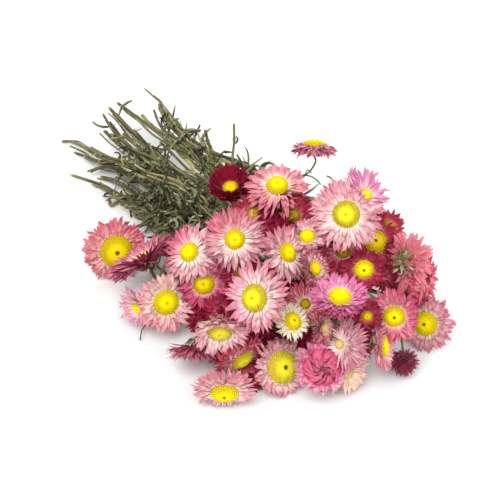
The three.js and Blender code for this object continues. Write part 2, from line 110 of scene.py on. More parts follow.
# Petals grow in layers, from the lowest up, each with its extra rise and share of length and width.
usualLayers = [(-10, 0.92, 1.0), (-3, 1.0, 1.0), (5, 0.98, 0.95), (12, 0.87, 0.85), (21, 0.66, 0.6)]
usualKinds = ["petalPointed", "petalPointed", "petalNarrow", "petalToothed", "petalSplit"]
smallLayers = [(-8, 0.92, 1.0), (0, 1.0, 1.0), (10, 0.85, 0.85), (22, 0.62, 0.6)]

# What a head has unless its row says otherwise.
usualHead = {
    "node": None, "fused": False, "inner": False, "disc": "lemon", "spot": False, "crowd": 1.0,
    "width": 1.0, "arch": 0, "wild": 1.3, "shade": 0.6, "dark": None, "underMix": 0.75, "rim": None,
    "accent": None, "short": None, "bracts": {}, "kinds": usualKinds, "closing": [],
}


def flower(slot, paper, place, size, facing, rise, **more):
    layers = smallLayers if more.get("fused") else usualLayers
    return {**usualHead, "layers": layers, "slot": slot, "paper": paper, "place": place, "size": size,
            "facing": facing, "rise": rise, **more}


# One row for each flower head: colour slot, paper, [across, up, height] of its middle, [radius,
# radius of the disc], [lean, direction of the lean] and rise of its petals. Then what sets it apart:
# crowd, width and wild multiply the number, the width and the unrest of its petals, and arch bends
# them up. Shade is painted shade that darkens the lower layers, under the upper ones, and underMix
# gives their under side the outer colour; dark is the colour of that painted shade and rim that of
# their edges. Accent is a second paper on the petals that point one way: [paper, direction, strength].
# Short takes a share off the petals in a direction. Layers may also say where they start, and closing
# rows are [start, length, width]. Node names the neighbour that a head grows into, a fused head has
# its disc in the node of its petals, and an inner one lies in the dark between the others.
heads = {
    "coral_left": flower("coral", "coral", (-84, 0, 18.5), (21.5, 10.5), (24, -50), -12, disc="golden",
        spot=True, crowd=1.2, wild=2.1, accent=("coralRed", 50, 0.9),
        kinds=["petalToothed", "petalSplit", "petalPointed"]),
    "side_left": flower("crimson", "sideRose", (-65, -7, 34), (24, 6.5), (78, 120), 12, disc="pale",
        crowd=1.3, shade=0.8, underMix=0.9),
    "pale_left": flower("pale", "peachPale", (-53, -32, 26), (19.5, 8), (22, -40), 12, shade=0.15,
        underMix=0.25, accent=("coral", -80, 0.6)),
    "lilac_left": flower("orchid", "lilacPale", (-69, -35, 20), (15, 4), (46, -125), 10, node="pale_left",
        fused=True, wild=2, shade=0.2, underMix=0.3),
    "pink_back": flower("pale", "whitePale", (-37, -2, 48), (20, 6.2), (30, 145), -13,
        accent=("rose", 140, 0.9)),
    "rose_left": flower("rose", "rose", (-29, -20, 34), (18, 7), (15, -90), 8, disc="golden", crowd=1.2),
    "hidden_left": flower("crimson", "crimson", (-5, -13, 40), (15, 4), (12, -90), 10, node="rose_left",
        fused=True, disc="aged"),
    "centre_back": flower("pale", "whitePale", (-9.5, 7, 62), (20, 6.2), (8, -90), 4, shade=1.2,
        accent=("coralRed", 115, 0.9)),
    "burgundy": flower("burgundy", "burgundy", (-12, 37.5, 48), (16.5, 5.3), (32, 98), 38, disc="golden",
        crowd=1.5, width=1.35, arch=34, wild=0.6, kinds=["petalRound"],
        layers=[(-12, 1.0, 0.9), (-4, 1.05, 0.9), (4, 1.08, 0.85), (12, 1.0, 0.8), (20, 0.7, 0.6)]),
    "salmon_back": flower("salmon", "salmon", (17, 39, 63), (20.5, 7), (36, 90), -13, crowd=1.25,
        width=1.05, accent=("coralRed", -90, 0.35), short=(-90, -0.16)),
    "hidden_back_1": flower("crimson", "crimson", (27, 21, 51), (16, 4.5), (15, 90), 8, node="hidden_back",
        fused=True, disc="aged"),
    "hidden_back_2": flower("crimson", "crimson", (2, 22, 50), (15.5, 4.5), (15, 90), 8,
        node="hidden_back", fused=True, disc="aged"),
    "lone_back": flower("rose", "dustyRose", (40, 64, 60), (15.5, 6.8), (80, 88), -22, crowd=1.2,
        width=0.75, wild=2.2, shade=0.25),
    "great_pale": flower("pale", "whitePale", (60.5, 22.5, 84), (22.5, 8.2), (12, 200), 3, disc="dotted",
        crowd=1.2, accent=("pink", 110, 0.6), short=(53, 0.4)),
    "bright_back": flower("orchid", "brightOrchid", (71, 33, 64), (17, 4.6), (35, 45), 12, crowd=0.75,
        width=0.8, wild=2.6, short=(105, -0.3)),
    "crimson_back": flower("crimson", "crimson", (77.5, 4.5, 54), (18, 7.5), (20, 60), 8,
        node="crimson_right", disc="golden", spot=True),
    "crimson_far": flower("crimson", "crimson", (86, 14, 47), (13, 4), (35, 50), 8, fused=True,
        disc="aged"),
    "crimson_cup": flower("crimson", "crimson", (71, -11, 63), (15, 6), (22, -90), 22, spot=True),
    "hidden_right": flower("crimson", "coralRed", (58, 0, 56), (14.5, 4.5), (20, -90), 8,
        node="crimson_right", fused=True, disc="aged", shade=0.8),
    "turned_away": flower("coral", "coralBack", (97.5, -7.5, 55), (19.5, 6), (130, 5), 5,
        node="coral_right", disc="none", crowd=1.2, wild=1.8, shade=0.2, underMix=0.5,
        accent=("crimson", 180, 0.8), bracts={"large": 1.6, "wide": 0.7, "messy": 2.6},
        layers=[(-17, 0.52, 0.8), (-13, 0.72, 0.9), (-8, 0.88, 1.0), (-1, 1.0, 1.0), (8, 0.98, 0.9),
            (18, 0.8, 0.8)]),
    "coral_end": flower("coral", "coralRed", (107, -17, 45), (16.5, 5.5), (50, 0), 5, node="coral_right",
        fused=True, disc="none", closing=[(5.6, 6.4, 0.9), (4.2, 5.4, 0.8), (2.6, 4.4, 0.7)]),
    "pink_right": flower("rose", "pinkRose", (90, -40.5, 45), (18, 6.5), (20, -100), 12, disc="golden",
        spot=True, crowd=1.25, short=(0, 0.22)),
    "pale_end": flower("pale", "pale", (110.5, -45.5, 15.5), (18.5, 7.6), (28, 200), -3, spot=True,
        crowd=1.2, shade=0.3, underMix=0.4),
    "orchid": flower("orchid", "orchid", (56, -31, 70), (17, 6.7), (44, 88), 18, crowd=1.4,
        accent=("rose", -90, 0.55)),
    "side_right": flower("rose", "sidePale", (81, -60, 32), (16, 6.6), (66, 0), 18, crowd=1.2, shade=0.15,
        underMix=0.3),
    "cream_striped": flower("cream", "striped", (57, -59, 36), (19, 3), (30, 175), 2, fused=True,
        disc="tuft", crowd=1.3, width=0.55),
    "peach_low": flower("cream", "peach", (60, -76, 16), (15, 4), (30, -45), 5, node="cream_striped",
        fused=True, disc="tuft"),
    "great_disc": flower("pale", "whitePale", (19, -73, 14), (18.5, 10), (30, 0), 8, disc="flecked",
        spot=True, crowd=1.2, width=0.8, wild=1.8, shade=0.3, underMix=0.4, accent=("coralRed", 100, 0.4)),
    "cream_small": flower("cream", "cream", (25.5, -45, 46), (12, 5.6), (35, 30), 12, spot=True, crowd=1.1,
        width=0.5, wild=2.6, shade=0.1, kinds=["petalNarrow"]),
    "centre": flower("pale", "whitePale", (4, -30, 64), (21, 8.3), (30, 180), -3, disc="dotted", shade=1.2,
        accent=("lilac", 185, 0.9)),
    "pink_inner": flower("salmon", "whitePale", (22, -2, 67), (18, 6), (40, 15), -3, disc="golden",
        shade=0.4, underMix=0.5, accent=("crimson", 115, 0.7)),
    "pale_inner": flower("salmon", "pink", (36, 7.5, 71), (13, 4.8), (30, 100), 12, node="pink_inner",
        rim="#fbe6dc"),
    "edged_inner": flower("salmon", "edged", (39, -12, 61), (12.5, 4.6), (45, 20), 18, node="pink_inner",
        disc="golden", rim="#fae2da"),
    "draped": flower("pale", "draped", (-19, -49, 42), (18.5, 7.4), (50, -88), 26, disc="pale", arch=30,
        wild=1.5, shade=0.05, underMix=0.1, accent=("crimson", 55, 0.85)),
    "crimson_front": flower("crimson", "crimsonEdge", (-6, -67, 19), (18, 7), (62, -55), -12,
        disc="dotted", shade=0.35, underMix=0.3),
    "side_front": flower("burgundy", "sideFront", (-34.5, -60, 20), (17, 4), (86, -95), 26, fused=True,
        disc="none", crowd=1.4, width=0.65, wild=1.8, shade=0.9, dark="#4a1624", underMix=0.2),
    "low_front": flower("pale", "whitePale", (-16, -87, 18), (19.5, 8.4), (56, -90), -10, spot=True,
        crowd=1.15, shade=0.35, underMix=0.3, accent=("coralRed", 90, 0.4)),
    "dark_inner_1": flower("crimson", "crimsonEdge", (45, -48, 44), (12, 3.6), (50, -10), 18,
        node="dark_inner", fused=True, disc="tuft", rim="#f6dcd4"),
    "dark_inner_2": flower("crimson", "crimson", (58, -45, 43), (12, 3), (20, -90), 12, node="dark_inner",
        fused=True, disc="aged"),
    "dark_inner_3": flower("crimson", "crimson", (72.5, -40.5, 47), (11, 3.2), (20, -60), 12,
        node="dark_inner", fused=True, disc="golden"),
    "inner_left": flower("crimson", "crimsonEdge", (35, -34, 45), (15, 3.4), (15, 150), 14, fused=True,
        disc="aged", rim="#f3d4cc"),
    "dark_ball": flower("burgundy", "maroon", (96, -68.5, 11), (8.8, 2.6), (60, -90), 0, disc="none",
        crowd=1.2, width=0.6, shade=0.1,
        layers=[(-55, 0.8, 1), (-38, 0.95, 1), (-20, 1.05, 1), (0, 1.1, 1), (18, 1.1, 1), (36, 1.1, 1),
            (54, 1.1, 1), (70, 1.1, 1), (84, 1.1, 0.9)]),
    "incurved": flower("rose", "incurved", (44.5, -72.5, 26), (17.5, 3), (12, -60), 0, disc="none",
        crowd=1.1, width=0.85, wild=2.2, shade=0.15, dark="#a02a50", underMix=0.75,
        accent=("orchid", 130, 0.7), kinds=["petalToothed", "petalSplit", "petalRound"],
        layers=[(-26, 0.86, 1.1), (-14, 0.94, 1.1), (-4, 0.95, 1.1), (8, 0.92, 1.1, 7),
            (22, 0.9, 1.0, 9), (38, 0.88, 1.0, 10)],
        closing=[(11.2, 10.2, 1.0), (9.8, 10.0, 1.0), (8.2, 9.0, 0.95), (6.5, 7.6, 0.9),
            (4.8, 6.0, 0.85), (3, 4.5, 0.8)]),
}
# Darker heads between the others, deeper in the heap: [across, up, height], radius and paper.
fillings = [
    ((31, -22, 38), 15, "crimson"), ((8, -50, 22), 15, "burgundy"), ((47, -31, 42), 14, "crimson"),
    ((60, -42, 36), 14, "crimson"), ((-6, -16, 32), 15, "crimson"), ((-22, -40, 24), 13, "burgundy"),
    ((-28, -44, 15), 13, "burgundy"), ((2, -57, 8), 14, "crimson"), ((31, -50, 26), 14, "burgundy"),
    ((-18, -60, 7), 13, "burgundy"), ((44, 4, 50), 15, "crimson"), ((14, 14, 46), 15, "burgundy"),
    ((87, -17, 38), 12, "crimson"), ((20, -12, 46), 14, "crimson"), ((68, -56, 20), 13, "crimson"),
    ((0, -80, 4), 11, "crimson"), ((98, -30, 28), 13, "rose"), ((38, -60, 10), 12, "burgundy"),
    ((-18, -37, 45), 12, "crimson"), ((56, -16, 52), 11, "crimson"), ((-36, -30, 20), 12, "rose"),
]
for number, (place, radius, paper) in enumerate(fillings):
    heads["filling_%d" % number] = flower(
        "crimson", paper, place, (radius, 2.5), (12 + 9 * (number % 3), 75 * number), 14,
        node="dark_inner", fused=True, inner=True, disc="none", wild=1.8,
        kinds=["petalSmall"] * 5, closing=[(3.4, 4.6, 0.8), (1.8, 3.2, 0.7)])
# The hub that petals grow from: how far it reaches past the disc, and heights on it, all in mm.
hub = {"start": 0.5, "low": 0.35, "top": 2.05, "discBase": 2.35}

# The origin lies under the middle of the bunch, so one disc that the CAD left whole gives the shift.
whole = heads["great_pale"]
wholeDisc = []
radius = whole["size"][1]
for share, lift in [(1.0, 0), (0.86, 0.64), (0.5, 1.0), (0, 1.12)]:
    for k in range(10):
        turned = 2 * math.pi * k / 10
        wholeDisc.append([radius * share * math.cos(turned), radius * share * math.sin(turned),
                          hub["discBase"] + 0.45 * lift * radius])
wholeDisc = np.array(wholeDisc) @ turnFor(facingOf(*whole["facing"])).T + rawPlace(*whole["place"])
shift = np.array(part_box("disc_great_pale")[0]) / mm - wholeDisc.min(axis=0)
shift[2] = 0
print("shift of the origin, mm:", [round(float(v), 3) for v in shift])


def placeAt(across, up, height):
    return rawPlace(across, up, height) + shift


eye = np.array([0, -view["distance"] * cosTilt, view["height"] + view["distance"] * sinTilt]) + shift
for number, (name, head) in enumerate(heads.items()):
    head["name"] = name
    head["node"] = head["node"] or name
    head["seed"] = 101 + number
    head["centre"] = placeAt(*head["place"])
    head["axis"] = facingOf(*head["facing"])
    head["turn"] = turnFor(head["axis"])
    head["far"] = float(np.linalg.norm(head["centre"] - eye))


def onHead(head, points):
    return points @ head["turn"].T + head["centre"]


# How high points lie over the middle of a head, and how far out from its axis.
def measuredOn(head, points):
    away = points - head["centre"]
    height = away @ head["axis"]
    return height, np.linalg.norm(away - height[:, None] * head["axis"], axis=1)


# The direction in the picture, as an angle.
def seenAngle(way):
    return math.atan2(way[1] * sinTilt + way[2] * cosTilt, way[0])


# Shader sums as plain expressions.
class Wire:
    def __init__(self, finish, socket):
        self.finish, self.socket = finish, socket

    def sum(self, operation, first, second):
        return self.finish.node("Math", {"operation": operation}, {0: first, 1: second})

    def __add__(self, other):
        return self.sum("ADD", self, other)

    def __sub__(self, other):
        return self.sum("SUBTRACT", self, other)

    def __rsub__(self, other):
        return self.sum("SUBTRACT", other, self)

    def __mul__(self, other):
        return self.sum("MULTIPLY", self, other)


def colourOf(code):
    parts = [int(code[k:k + 2], 16) / 255 for k in (1, 3, 5)]
    return tuple(v / 12.92 if v <= 0.04045 else ((v + 0.055) / 1.055) ** 2.4 for v in parts) + (1,)


class Finish:
    def __init__(self, name, roughness=0.7):
        self.material = bpy.data.materials.new(name)
        self.material.use_nodes = True
        self.tree = self.material.node_tree
        self.shader = self.tree.nodes["Principled BSDF"]
        self.shader.inputs["Roughness"].default_value = roughness
        self.shader.inputs["Specular IOR Level"].default_value = 0.2

    def feed(self, socket, value):
        if isinstance(value, Wire):
            self.tree.links.new(value.socket, socket)
        else:
            socket.default_value = colourOf(value) if isinstance(value, str) else value

    def node(self, kind, settings, values, output=0):
        made = self.tree.nodes.new("ShaderNode" + kind)
        for key, value in settings.items():
            setattr(made, key, value)
        for key, value in values.items():
            self.feed(made.inputs[key], value)
        return Wire(self, made.outputs[output])

    def parts(self, attribute):
        vector = self.node("Attribute", {"attribute_name": attribute}, {}, "Vector")
        return [self.node("SeparateXYZ", {}, {0: vector}, k) for k in range(3)]

    def vector(self, x, y, z):
        return self.node("CombineXYZ", {}, {0: x, 1: y, 2: z})

    def noise(self, vector, detail=3.0):
        return self.node("TexNoise", {}, {"Vector": vector, "Scale": 1.0, "Detail": detail})

    def ease(self, value, low, high):
        return self.node("MapRange", {"interpolation_type": "SMOOTHSTEP"},
                         {"Value": value, "From Min": low, "From Max": high})

    def mix(self, factor, first, second):
        return self.node("Mix", {"data_type": "RGBA"}, {0: factor, 6: first, 7: second}, 2)

    def paint(self, colour, bump=None, strength=0, distance=0):
        self.feed(self.shader.inputs["Base Color"], colour)
        if bump is not None:
            normal = self.node("Bump", {}, {"Height": bump, "Strength": strength, "Distance": distance})
            self.feed(self.shader.inputs["Normal"], normal)


# Modelling helpers.
def pick(test):
    mesh = bmesh.from_edit_mesh(bpy.context.object.data)
    for vertex in mesh.verts:
        vertex.select = test(vertex.co)
    mesh.select_flush_mode()
    bmesh.update_edit_mesh(bpy.context.object.data)


def pickFaces(test):
    mesh = bmesh.from_edit_mesh(bpy.context.object.data)
    for face in mesh.faces:
        face.select_set(test(face))
    bmesh.update_edit_mesh(bpy.context.object.data)


def pickAll():
    bpy.ops.mesh.select_all(action="SELECT")


def scaleBy(x, y, z):
    bpy.ops.transform.resize(value=(x, y, z), center_override=(0, 0, 0))


def move(x, y, z):
    bpy.ops.transform.translate(value=(x, y, z))


# Draws what is picked out along z, step by step, and narrows or widens it.
def drawOut(steps):
    for rise, share in steps:
        bpy.ops.mesh.extrude_region_move(TRANSFORM_OT_translate={"value": (0, 0, rise)})
        bpy.ops.transform.resize(value=(share, share, 1))
    faceOutward()


def faceOutward():
    pickAll()
    bpy.ops.mesh.normals_make_consistent(inside=False)


def startPiece(name, add, **options):
    bpy.ops.object.select_all(action="DESELECT")
    add(**options)
    made = bpy.context.object
    made.name = name
    bpy.ops.object.transform_apply(location=True, rotation=True, scale=True)
    bpy.ops.object.mode_set(mode="EDIT")
    bpy.ops.mesh.select_mode(type="VERT")
    return made


def readPoints(mesh):
    points = np.empty(len(mesh.vertices) * 3, np.float32)
    mesh.vertices.foreach_get("co", points)
    return points.reshape(-1, 3)


def writePoints(mesh, points):
    mesh.vertices.foreach_set("co", points.astype(np.float32).ravel())


def writeValues(mesh, attribute, columns):
    values = np.empty((len(mesh.vertices), 3), np.float32)
    for k, column in enumerate(columns):
        values[:, k] = column
    mesh.attributes[attribute].data.foreach_set("vector", values.ravel())


# What is modelled once and copied keeps its points, and which of them lie on the under side.
blanks = {}


def keepBlank(made, length, width):
    bpy.ops.object.mode_set(mode="OBJECT")
    points = readPoints(made.data)
    under = (points[:, 2] < 0).astype(np.float32)
    blanks[made.name] = dict(mesh=made.data, points=points, length=length, width=width, under=under)
    made.data.attributes.new("place", "FLOAT_VECTOR", "POINT")
    made.data.attributes.new("tint", "FLOAT_VECTOR", "POINT")
    bpy.data.objects.remove(made)


# A blade lies along y. It has a width at each row, its tips moved along it and its middle folded down.
def modelBlade(name, shape, outline, tips=(), fold=0):
    length, width = shape["length"] * mm, shape["width"] * mm
    rows = len(outline) - 1
    made = startPiece(name, bpy.ops.mesh.primitive_grid_add, x_subdivisions=max(len(tips) - 1, 2),
                      y_subdivisions=rows, size=1, location=(0, 0.5, 0))
    pickAll()
    scaleBy(width, length, 1)
    for row, share in enumerate(outline):
        pick(lambda p: abs(p.y - row * length / rows) < 0.1 * mm)
        scaleBy(share, 1, 1)
    tipWidth = width * outline[-1]
    for column, reach in enumerate(tips):
        side = (column / (len(tips) - 1) - 0.5) * tipWidth
        pick(lambda p: p.y > length * 0.87 and abs(p.x - side) < 0.04 * mm)
        move(0, reach * mm, 0)
    if fold:
        pick(lambda p: abs(p.x) < 0.02 * mm)
        move(0, 0, -fold * mm)
    bpy.ops.object.mode_set(mode="OBJECT")
    wall = made.modifiers.new("wall", "SOLIDIFY")
    wall.thickness = shape["thickness"] * mm
    wall.offset = 0
    bpy.ops.object.modifier_apply(modifier="wall")
    keepBlank(made, length, width)


petalShape = {
    "length": 14, "width": 3.4, "thickness": 0.2,
    # for each kind: width at each row along it, and how far the points across the tip reach
    # past it, which makes one point, or teeth with notches
    "kinds": {
        "petalPointed": ([0.42, 0.68, 0.93, 0.99, 0.73, 0.18], [-0.5, 0.5, -0.4]),
        "petalNarrow": ([0.5, 0.67, 0.81, 0.84, 0.6, 0.14], [-0.8, 0.35, -0.8]),
        "petalToothed": ([0.42, 0.71, 0.97, 1.05, 0.86, 0.5], [-0.6, -1.0, 0.7, -1.4]),
        "petalRound": ([0.5, 0.77, 0.98, 1.05, 0.95, 0.6], [-1.2, 0.1, 0.1, -1.2]),
        "petalSplit": ([0.42, 0.7, 0.93, 0.99, 0.81, 0.46], [0.2, -1.6, -0.3, -1.5]),
        "petalSmall": ([0.42, 0.95, 0.9, 0.2], [-0.4, 0.5, -0.4]),
    },
}


# Lays a copy of a blank along a line of points, so that its upper side faces upward.
def layAlong(blankName, path, upward, width=1.0, depth=1.0, cup=0.0, roll=0.0, seed=0.0, tint=(0, 0)):
    blank = blanks[blankName]
    path = np.asarray(path)
    along = np.gradient(path, axis=0)
    along /= np.linalg.norm(along, axis=1)[:, None] + 1e-12
    ups = np.empty_like(path)
    up = np.asarray(upward, float)
    for k in range(len(path)):
        up = up - along[k] * float(up @ along[k])
        up = up / (np.linalg.norm(up) + 1e-12)
        ups[k] = up
    turned = roll * np.linspace(0, 1, len(path))[:, None]
    sides = np.cross(along, ups)
    cosine, sine = np.cos(turned), np.sin(turned)
    sides, ups = sides * cosine + ups * sine, ups * cosine - sides * sine

    points = blank["points"]
    share = np.clip(points[:, 1] / blank["length"], 0, 1.08)
    place = share * (len(path) - 1)
    low = np.clip(place.astype(int), 0, len(path) - 2)
    part = (place - low)[:, None]
    middle = path[low] * (1 - part) + path[low + 1] * part
    side = sides[low] * (1 - part) + sides[low + 1] * part
    lift = ups[low] * (1 - part) + ups[low + 1] * part
    across = points[:, 0] * width
    half = 0.5 * blank["width"] * width
    height = points[:, 2] * depth + cup * across ** 2 / half
    laid = middle + side * across[:, None] + lift * height[:, None]
    laid[:, 2] = np.maximum(laid[:, 2], 0.02 * mm)

    mesh = blank["mesh"].copy()
    writePoints(mesh, laid)
    writeValues(mesh, "place", (points[:, 0] / blank["width"] + 0.5, share, seed))
    writeValues(mesh, "tint", (*tint, blank["under"]))
    return mesh


def joinPieces(name, meshes, finish, smooth=40):
    bpy.ops.object.select_all(action="DESELECT")
    for mesh in meshes:
        part = bpy.data.objects.new(name, mesh)
        bpy.context.collection.objects.link(part)
        part.select_set(True)
    bpy.context.view_layer.objects.active = part
    bpy.ops.object.join()
    part = bpy.context.object
    part.name = name
    part.data.materials.clear()
    part.data.materials.append(finish.material)
    bpy.ops.object.shade_smooth_by_angle(angle=math.radians(smooth))
    return part


# Where heads press on each other: a head nearer the viewer lies over the petals of the next one,
# and its own petals lie over the next one's disc.
headList = list(heads.values())
# in mm: how far petals stay under a nearer head, which is this thick and hollow by dish in the
# middle, and how far they stay over a disc
pressing = {"under": 1.2, "thick": 9, "dish": 1.5, "over": 0.5}


def settle(points, own):
    for other in own["near"]:
        radius, disc = other["size"]
        height, out = measuredOn(other, points)
        if other["far"] < own["far"]:
            rise = math.tan(math.radians(other["rise"] - 8))
            surface = np.where(out < disc, -pressing["dish"] * (disc - out) / disc, (out - disc) * rise)
            surface = surface - pressing["under"]
            inside = (out < radius * 0.95) & (height > surface) & (height < surface + pressing["thick"])
            points = points + np.where(inside, surface - height, 0)[:, None] * other["axis"]
        elif other["disc"] != "none":
            dome = hub["discBase"] + 0.5 * disc * (1 - np.clip(out / disc, 0, 1) ** 2) + pressing["over"]
            inside = (out < disc + 0.5) & (height > 1.0) & (height < dome)
            points = points + np.where(inside, dome - height, 0)[:, None] * other["axis"]
    smooth = points.copy()
    smooth[1:-1] = 0.5 * points[1:-1] + 0.25 * (points[:-2] + points[2:])
    smooth[:, 2] = np.maximum(smooth[:, 2], 0.3)
    return smooth


for head in headList:
    head["near"] = [other for other in headList if other is not head and
                    np.linalg.norm(head["centre"] - other["centre"]) < head["size"][0] + other["size"][0]]


def petalPath(head, angle, start, low, length, rise, bend, curl, sweep, haste=1.0):
    steps = np.linspace(0, 1, 9)
    slope = np.radians(rise + bend * steps ** haste + curl * steps ** 3)
    turned = angle + np.radians(sweep) * steps ** 2
    step = length / 8
    out = np.concatenate([[0], np.cumsum(step * np.cos(slope[:-1]))])
    up = np.concatenate([[0], np.cumsum(step * np.sin(slope[:-1]))])
    radial = start + out
    return onHead(head, np.stack([radial * np.cos(turned), radial * np.sin(turned), low + up], axis=1))


# How the petals of a head vary: the share of them that is missing, and for the rest the lowest and
# highest value, with angles in degrees. Of those without an arch some are curled up.
petalVary = {"missing": 0.06, "angle": 0.38, "length": (0.86, 1.14), "rise": (-6, 6), "bend": (-16, 14),
             "curl": (-20, 30), "curledShare": 0.25, "curled": (30, 80), "sweep": (-6, 6),
             "width": (0.7, 1.1), "cup": (0.0, 0.9), "roll": (-34, 34)}
# Petals that close over the middle of a head turn inward soon after they leave it.
closingShape = {"low": 0.8, "rise": 62, "bend": 122, "haste": 0.5, "sweep": 26, "crowd": 1.1}
closingVary = {"angle": 0.4, "length": (0.75, 1.15), "rise": (-16, 14), "bend": (-26, 14),
               "sweep": (0.6, 1.4), "width": (0.8, 1.15), "cup": (0.5, 1.1), "roll": (-35, 35),
               "shade": (0, 0.5)}


def closePetals(head, width, draw):
    meshes = []
    shape, vary = closingShape, closingVary
    for start, length, wide in head["closing"]:
        many = round(2 * math.pi * start / (petalShape["width"] * width * wide) * shape["crowd"])
        for k in range(many):
            angle = 2 * math.pi * (k + vary["angle"] * draw.random()) / many
            path = petalPath(head, angle, start, shape["low"], length * draw.uniform(*vary["length"]),
                             shape["rise"] + draw.uniform(*vary["rise"]),
                             shape["bend"] + draw.uniform(*vary["bend"]), 0,
                             shape["sweep"] * draw.uniform(*vary["sweep"]), shape["haste"])
            # closing petals get a random share of painted shade
            meshes.append(layAlong(
                draw.choice(["petalPointed", "petalNarrow"]), path * mm, head["axis"],
                width=width * wide * draw.uniform(*vary["width"]), cup=draw.uniform(*vary["cup"]),
                roll=math.radians(draw.uniform(*vary["roll"])), seed=draw.random(),
                tint=(0, draw.uniform(*vary["shade"]))))
    return meshes


def growPetals(head):
    draw = random.Random(head["seed"])
    radius, disc = head["size"]
    width = head["width"] * (0.8 if radius < 14 else 0.92 if radius < 18 else 1.0)
    # enough petals side by side to cover the circle at this share of the radius
    count = round(2 * math.pi * 0.62 * radius / (petalShape["width"] * width) * 1.12 * head["crowd"])
    start = max(disc - 0.4, 1.0)
    meshes = []
    wild, vary = head["wild"], petalVary
    for level, (extra, reach, wide, *further) in enumerate(head["layers"]):
        first = further[0] if further else start
        share = level / (len(head["layers"]) - 1)
        low = hub["low"] - 0.6 + (hub["top"] - hub["low"] + 0.4) * share
        many = count if share < 0.95 else round(count * 1.1)
        for k in range(many):
            if draw.random() < vary["missing"]:
                continue
            aside = 0.5 * (level % 2) + vary["angle"] * (draw.random() - 0.5)
            angle = 2 * math.pi * (k + aside) / many
            length = (radius * reach - first) * draw.uniform(*vary["length"])
            rise = head["rise"] + extra + wild * draw.uniform(*vary["rise"])
            bend = head["arch"] + wild * draw.uniform(*vary["bend"])
            curl = draw.uniform(*vary["curl"])
            if draw.random() < vary["curledShare"] and not head["arch"]:
                curl = draw.uniform(*vary["curled"])
            sweep = wild * draw.uniform(*vary["sweep"])
            if head["short"]:
                toward, less = head["short"]
                pointing = seenAngle(head["turn"] @ np.array([math.cos(angle), math.sin(angle), 0]))
                if math.cos(pointing - math.radians(toward)) > 0.8:
                    length *= 1 - less
            path = settle(petalPath(head, angle, first, low, length, rise, bend, curl, sweep), head)
            tinted = 0
            if head["accent"]:
                _, toward, strength = head["accent"]
                facing = math.cos(seenAngle(path[-1] - path[0]) - math.radians(toward))
                tinted = strength * min(max((facing - 0.2) / 0.5, 0), 1) * draw.uniform(0.6, 1)
            # painted shade: the lower layers, which lie under the upper ones, are painted darker, and
            # every petal gets a little at random
            shade = min(head["shade"] * (1 - 1.25 * share), 1) * draw.uniform(0.4, 1)
            shade = max(shade, draw.uniform(0, 0.25))
            meshes.append(layAlong(
                draw.choice(head["kinds"]), path * mm, head["axis"],
                width=width * wide * draw.uniform(*vary["width"]), cup=draw.uniform(*vary["cup"]),
                roll=math.radians(draw.uniform(*vary["roll"])), seed=draw.random(),
                tint=(tinted, shade)))
    return meshes + closePetals(head, width, draw)


def paperFinish(head):
    base, middle, tip, back = papers[head["paper"]]
    paper = Finish("paper_" + head["name"], 0.55)
    across, along, seed = paper.parts("place")
    accent, shade, under = paper.parts("tint")
    streak = paper.noise(paper.vector(across * 8, along * 1.3, seed * 61))
    blotch = paper.noise(paper.vector(across * 2.0, along * 2.4, seed * 37 + 5), 2.0)
    reach = along + (streak - 0.5) * 0.5 + (seed - 0.5) * 0.16
    heart = 1 - paper.ease(reach, 0.1, 0.62)
    edge = paper.ease(reach, 0.45, 1.0)
    colour = paper.mix(edge * 0.85, paper.mix(heart, middle, base), tip)
    if head["accent"]:
        otherBase, otherMiddle, otherTip, _ = papers[head["accent"][0]]
        other = paper.mix(edge * 0.8, paper.mix(heart * 0.7, otherMiddle, otherBase), otherTip)
        colour = paper.mix(accent, colour, other)
    vein = paper.ease(streak, 0.55, 0.72)
    colour = paper.mix(vein * 0.55 * paper.ease(along, 0.1, 0.5), colour, tip)
    colour = paper.mix(paper.ease(streak, 0.42, 0.25) * 0.5, colour, base)
    colour = paper.mix(paper.ease(blotch, 0.45, 0.75) * 0.3, colour, base)
    if head["rim"]:
        aside = paper.node("Math", {"operation": "ABSOLUTE"}, {0: across - 0.5})
        rim = paper.ease(aside, 0.24, 0.42) * paper.ease(along, 0.1, 0.3) * 0.9
        colour = paper.mix(rim, colour, head["rim"])
    colour = paper.mix(under * head["underMix"], colour, back)
    # painted shade, in the head's dark colour or else the outer side's colour
    colour = paper.mix(shade, colour, head["dark"] or back)
    colour = paper.mix(paper.ease(along, 0.95, 1.06) * 0.2, colour, "#b98a78")
    paper.paint(colour, streak, 0.5, 0.0004)
    return paper
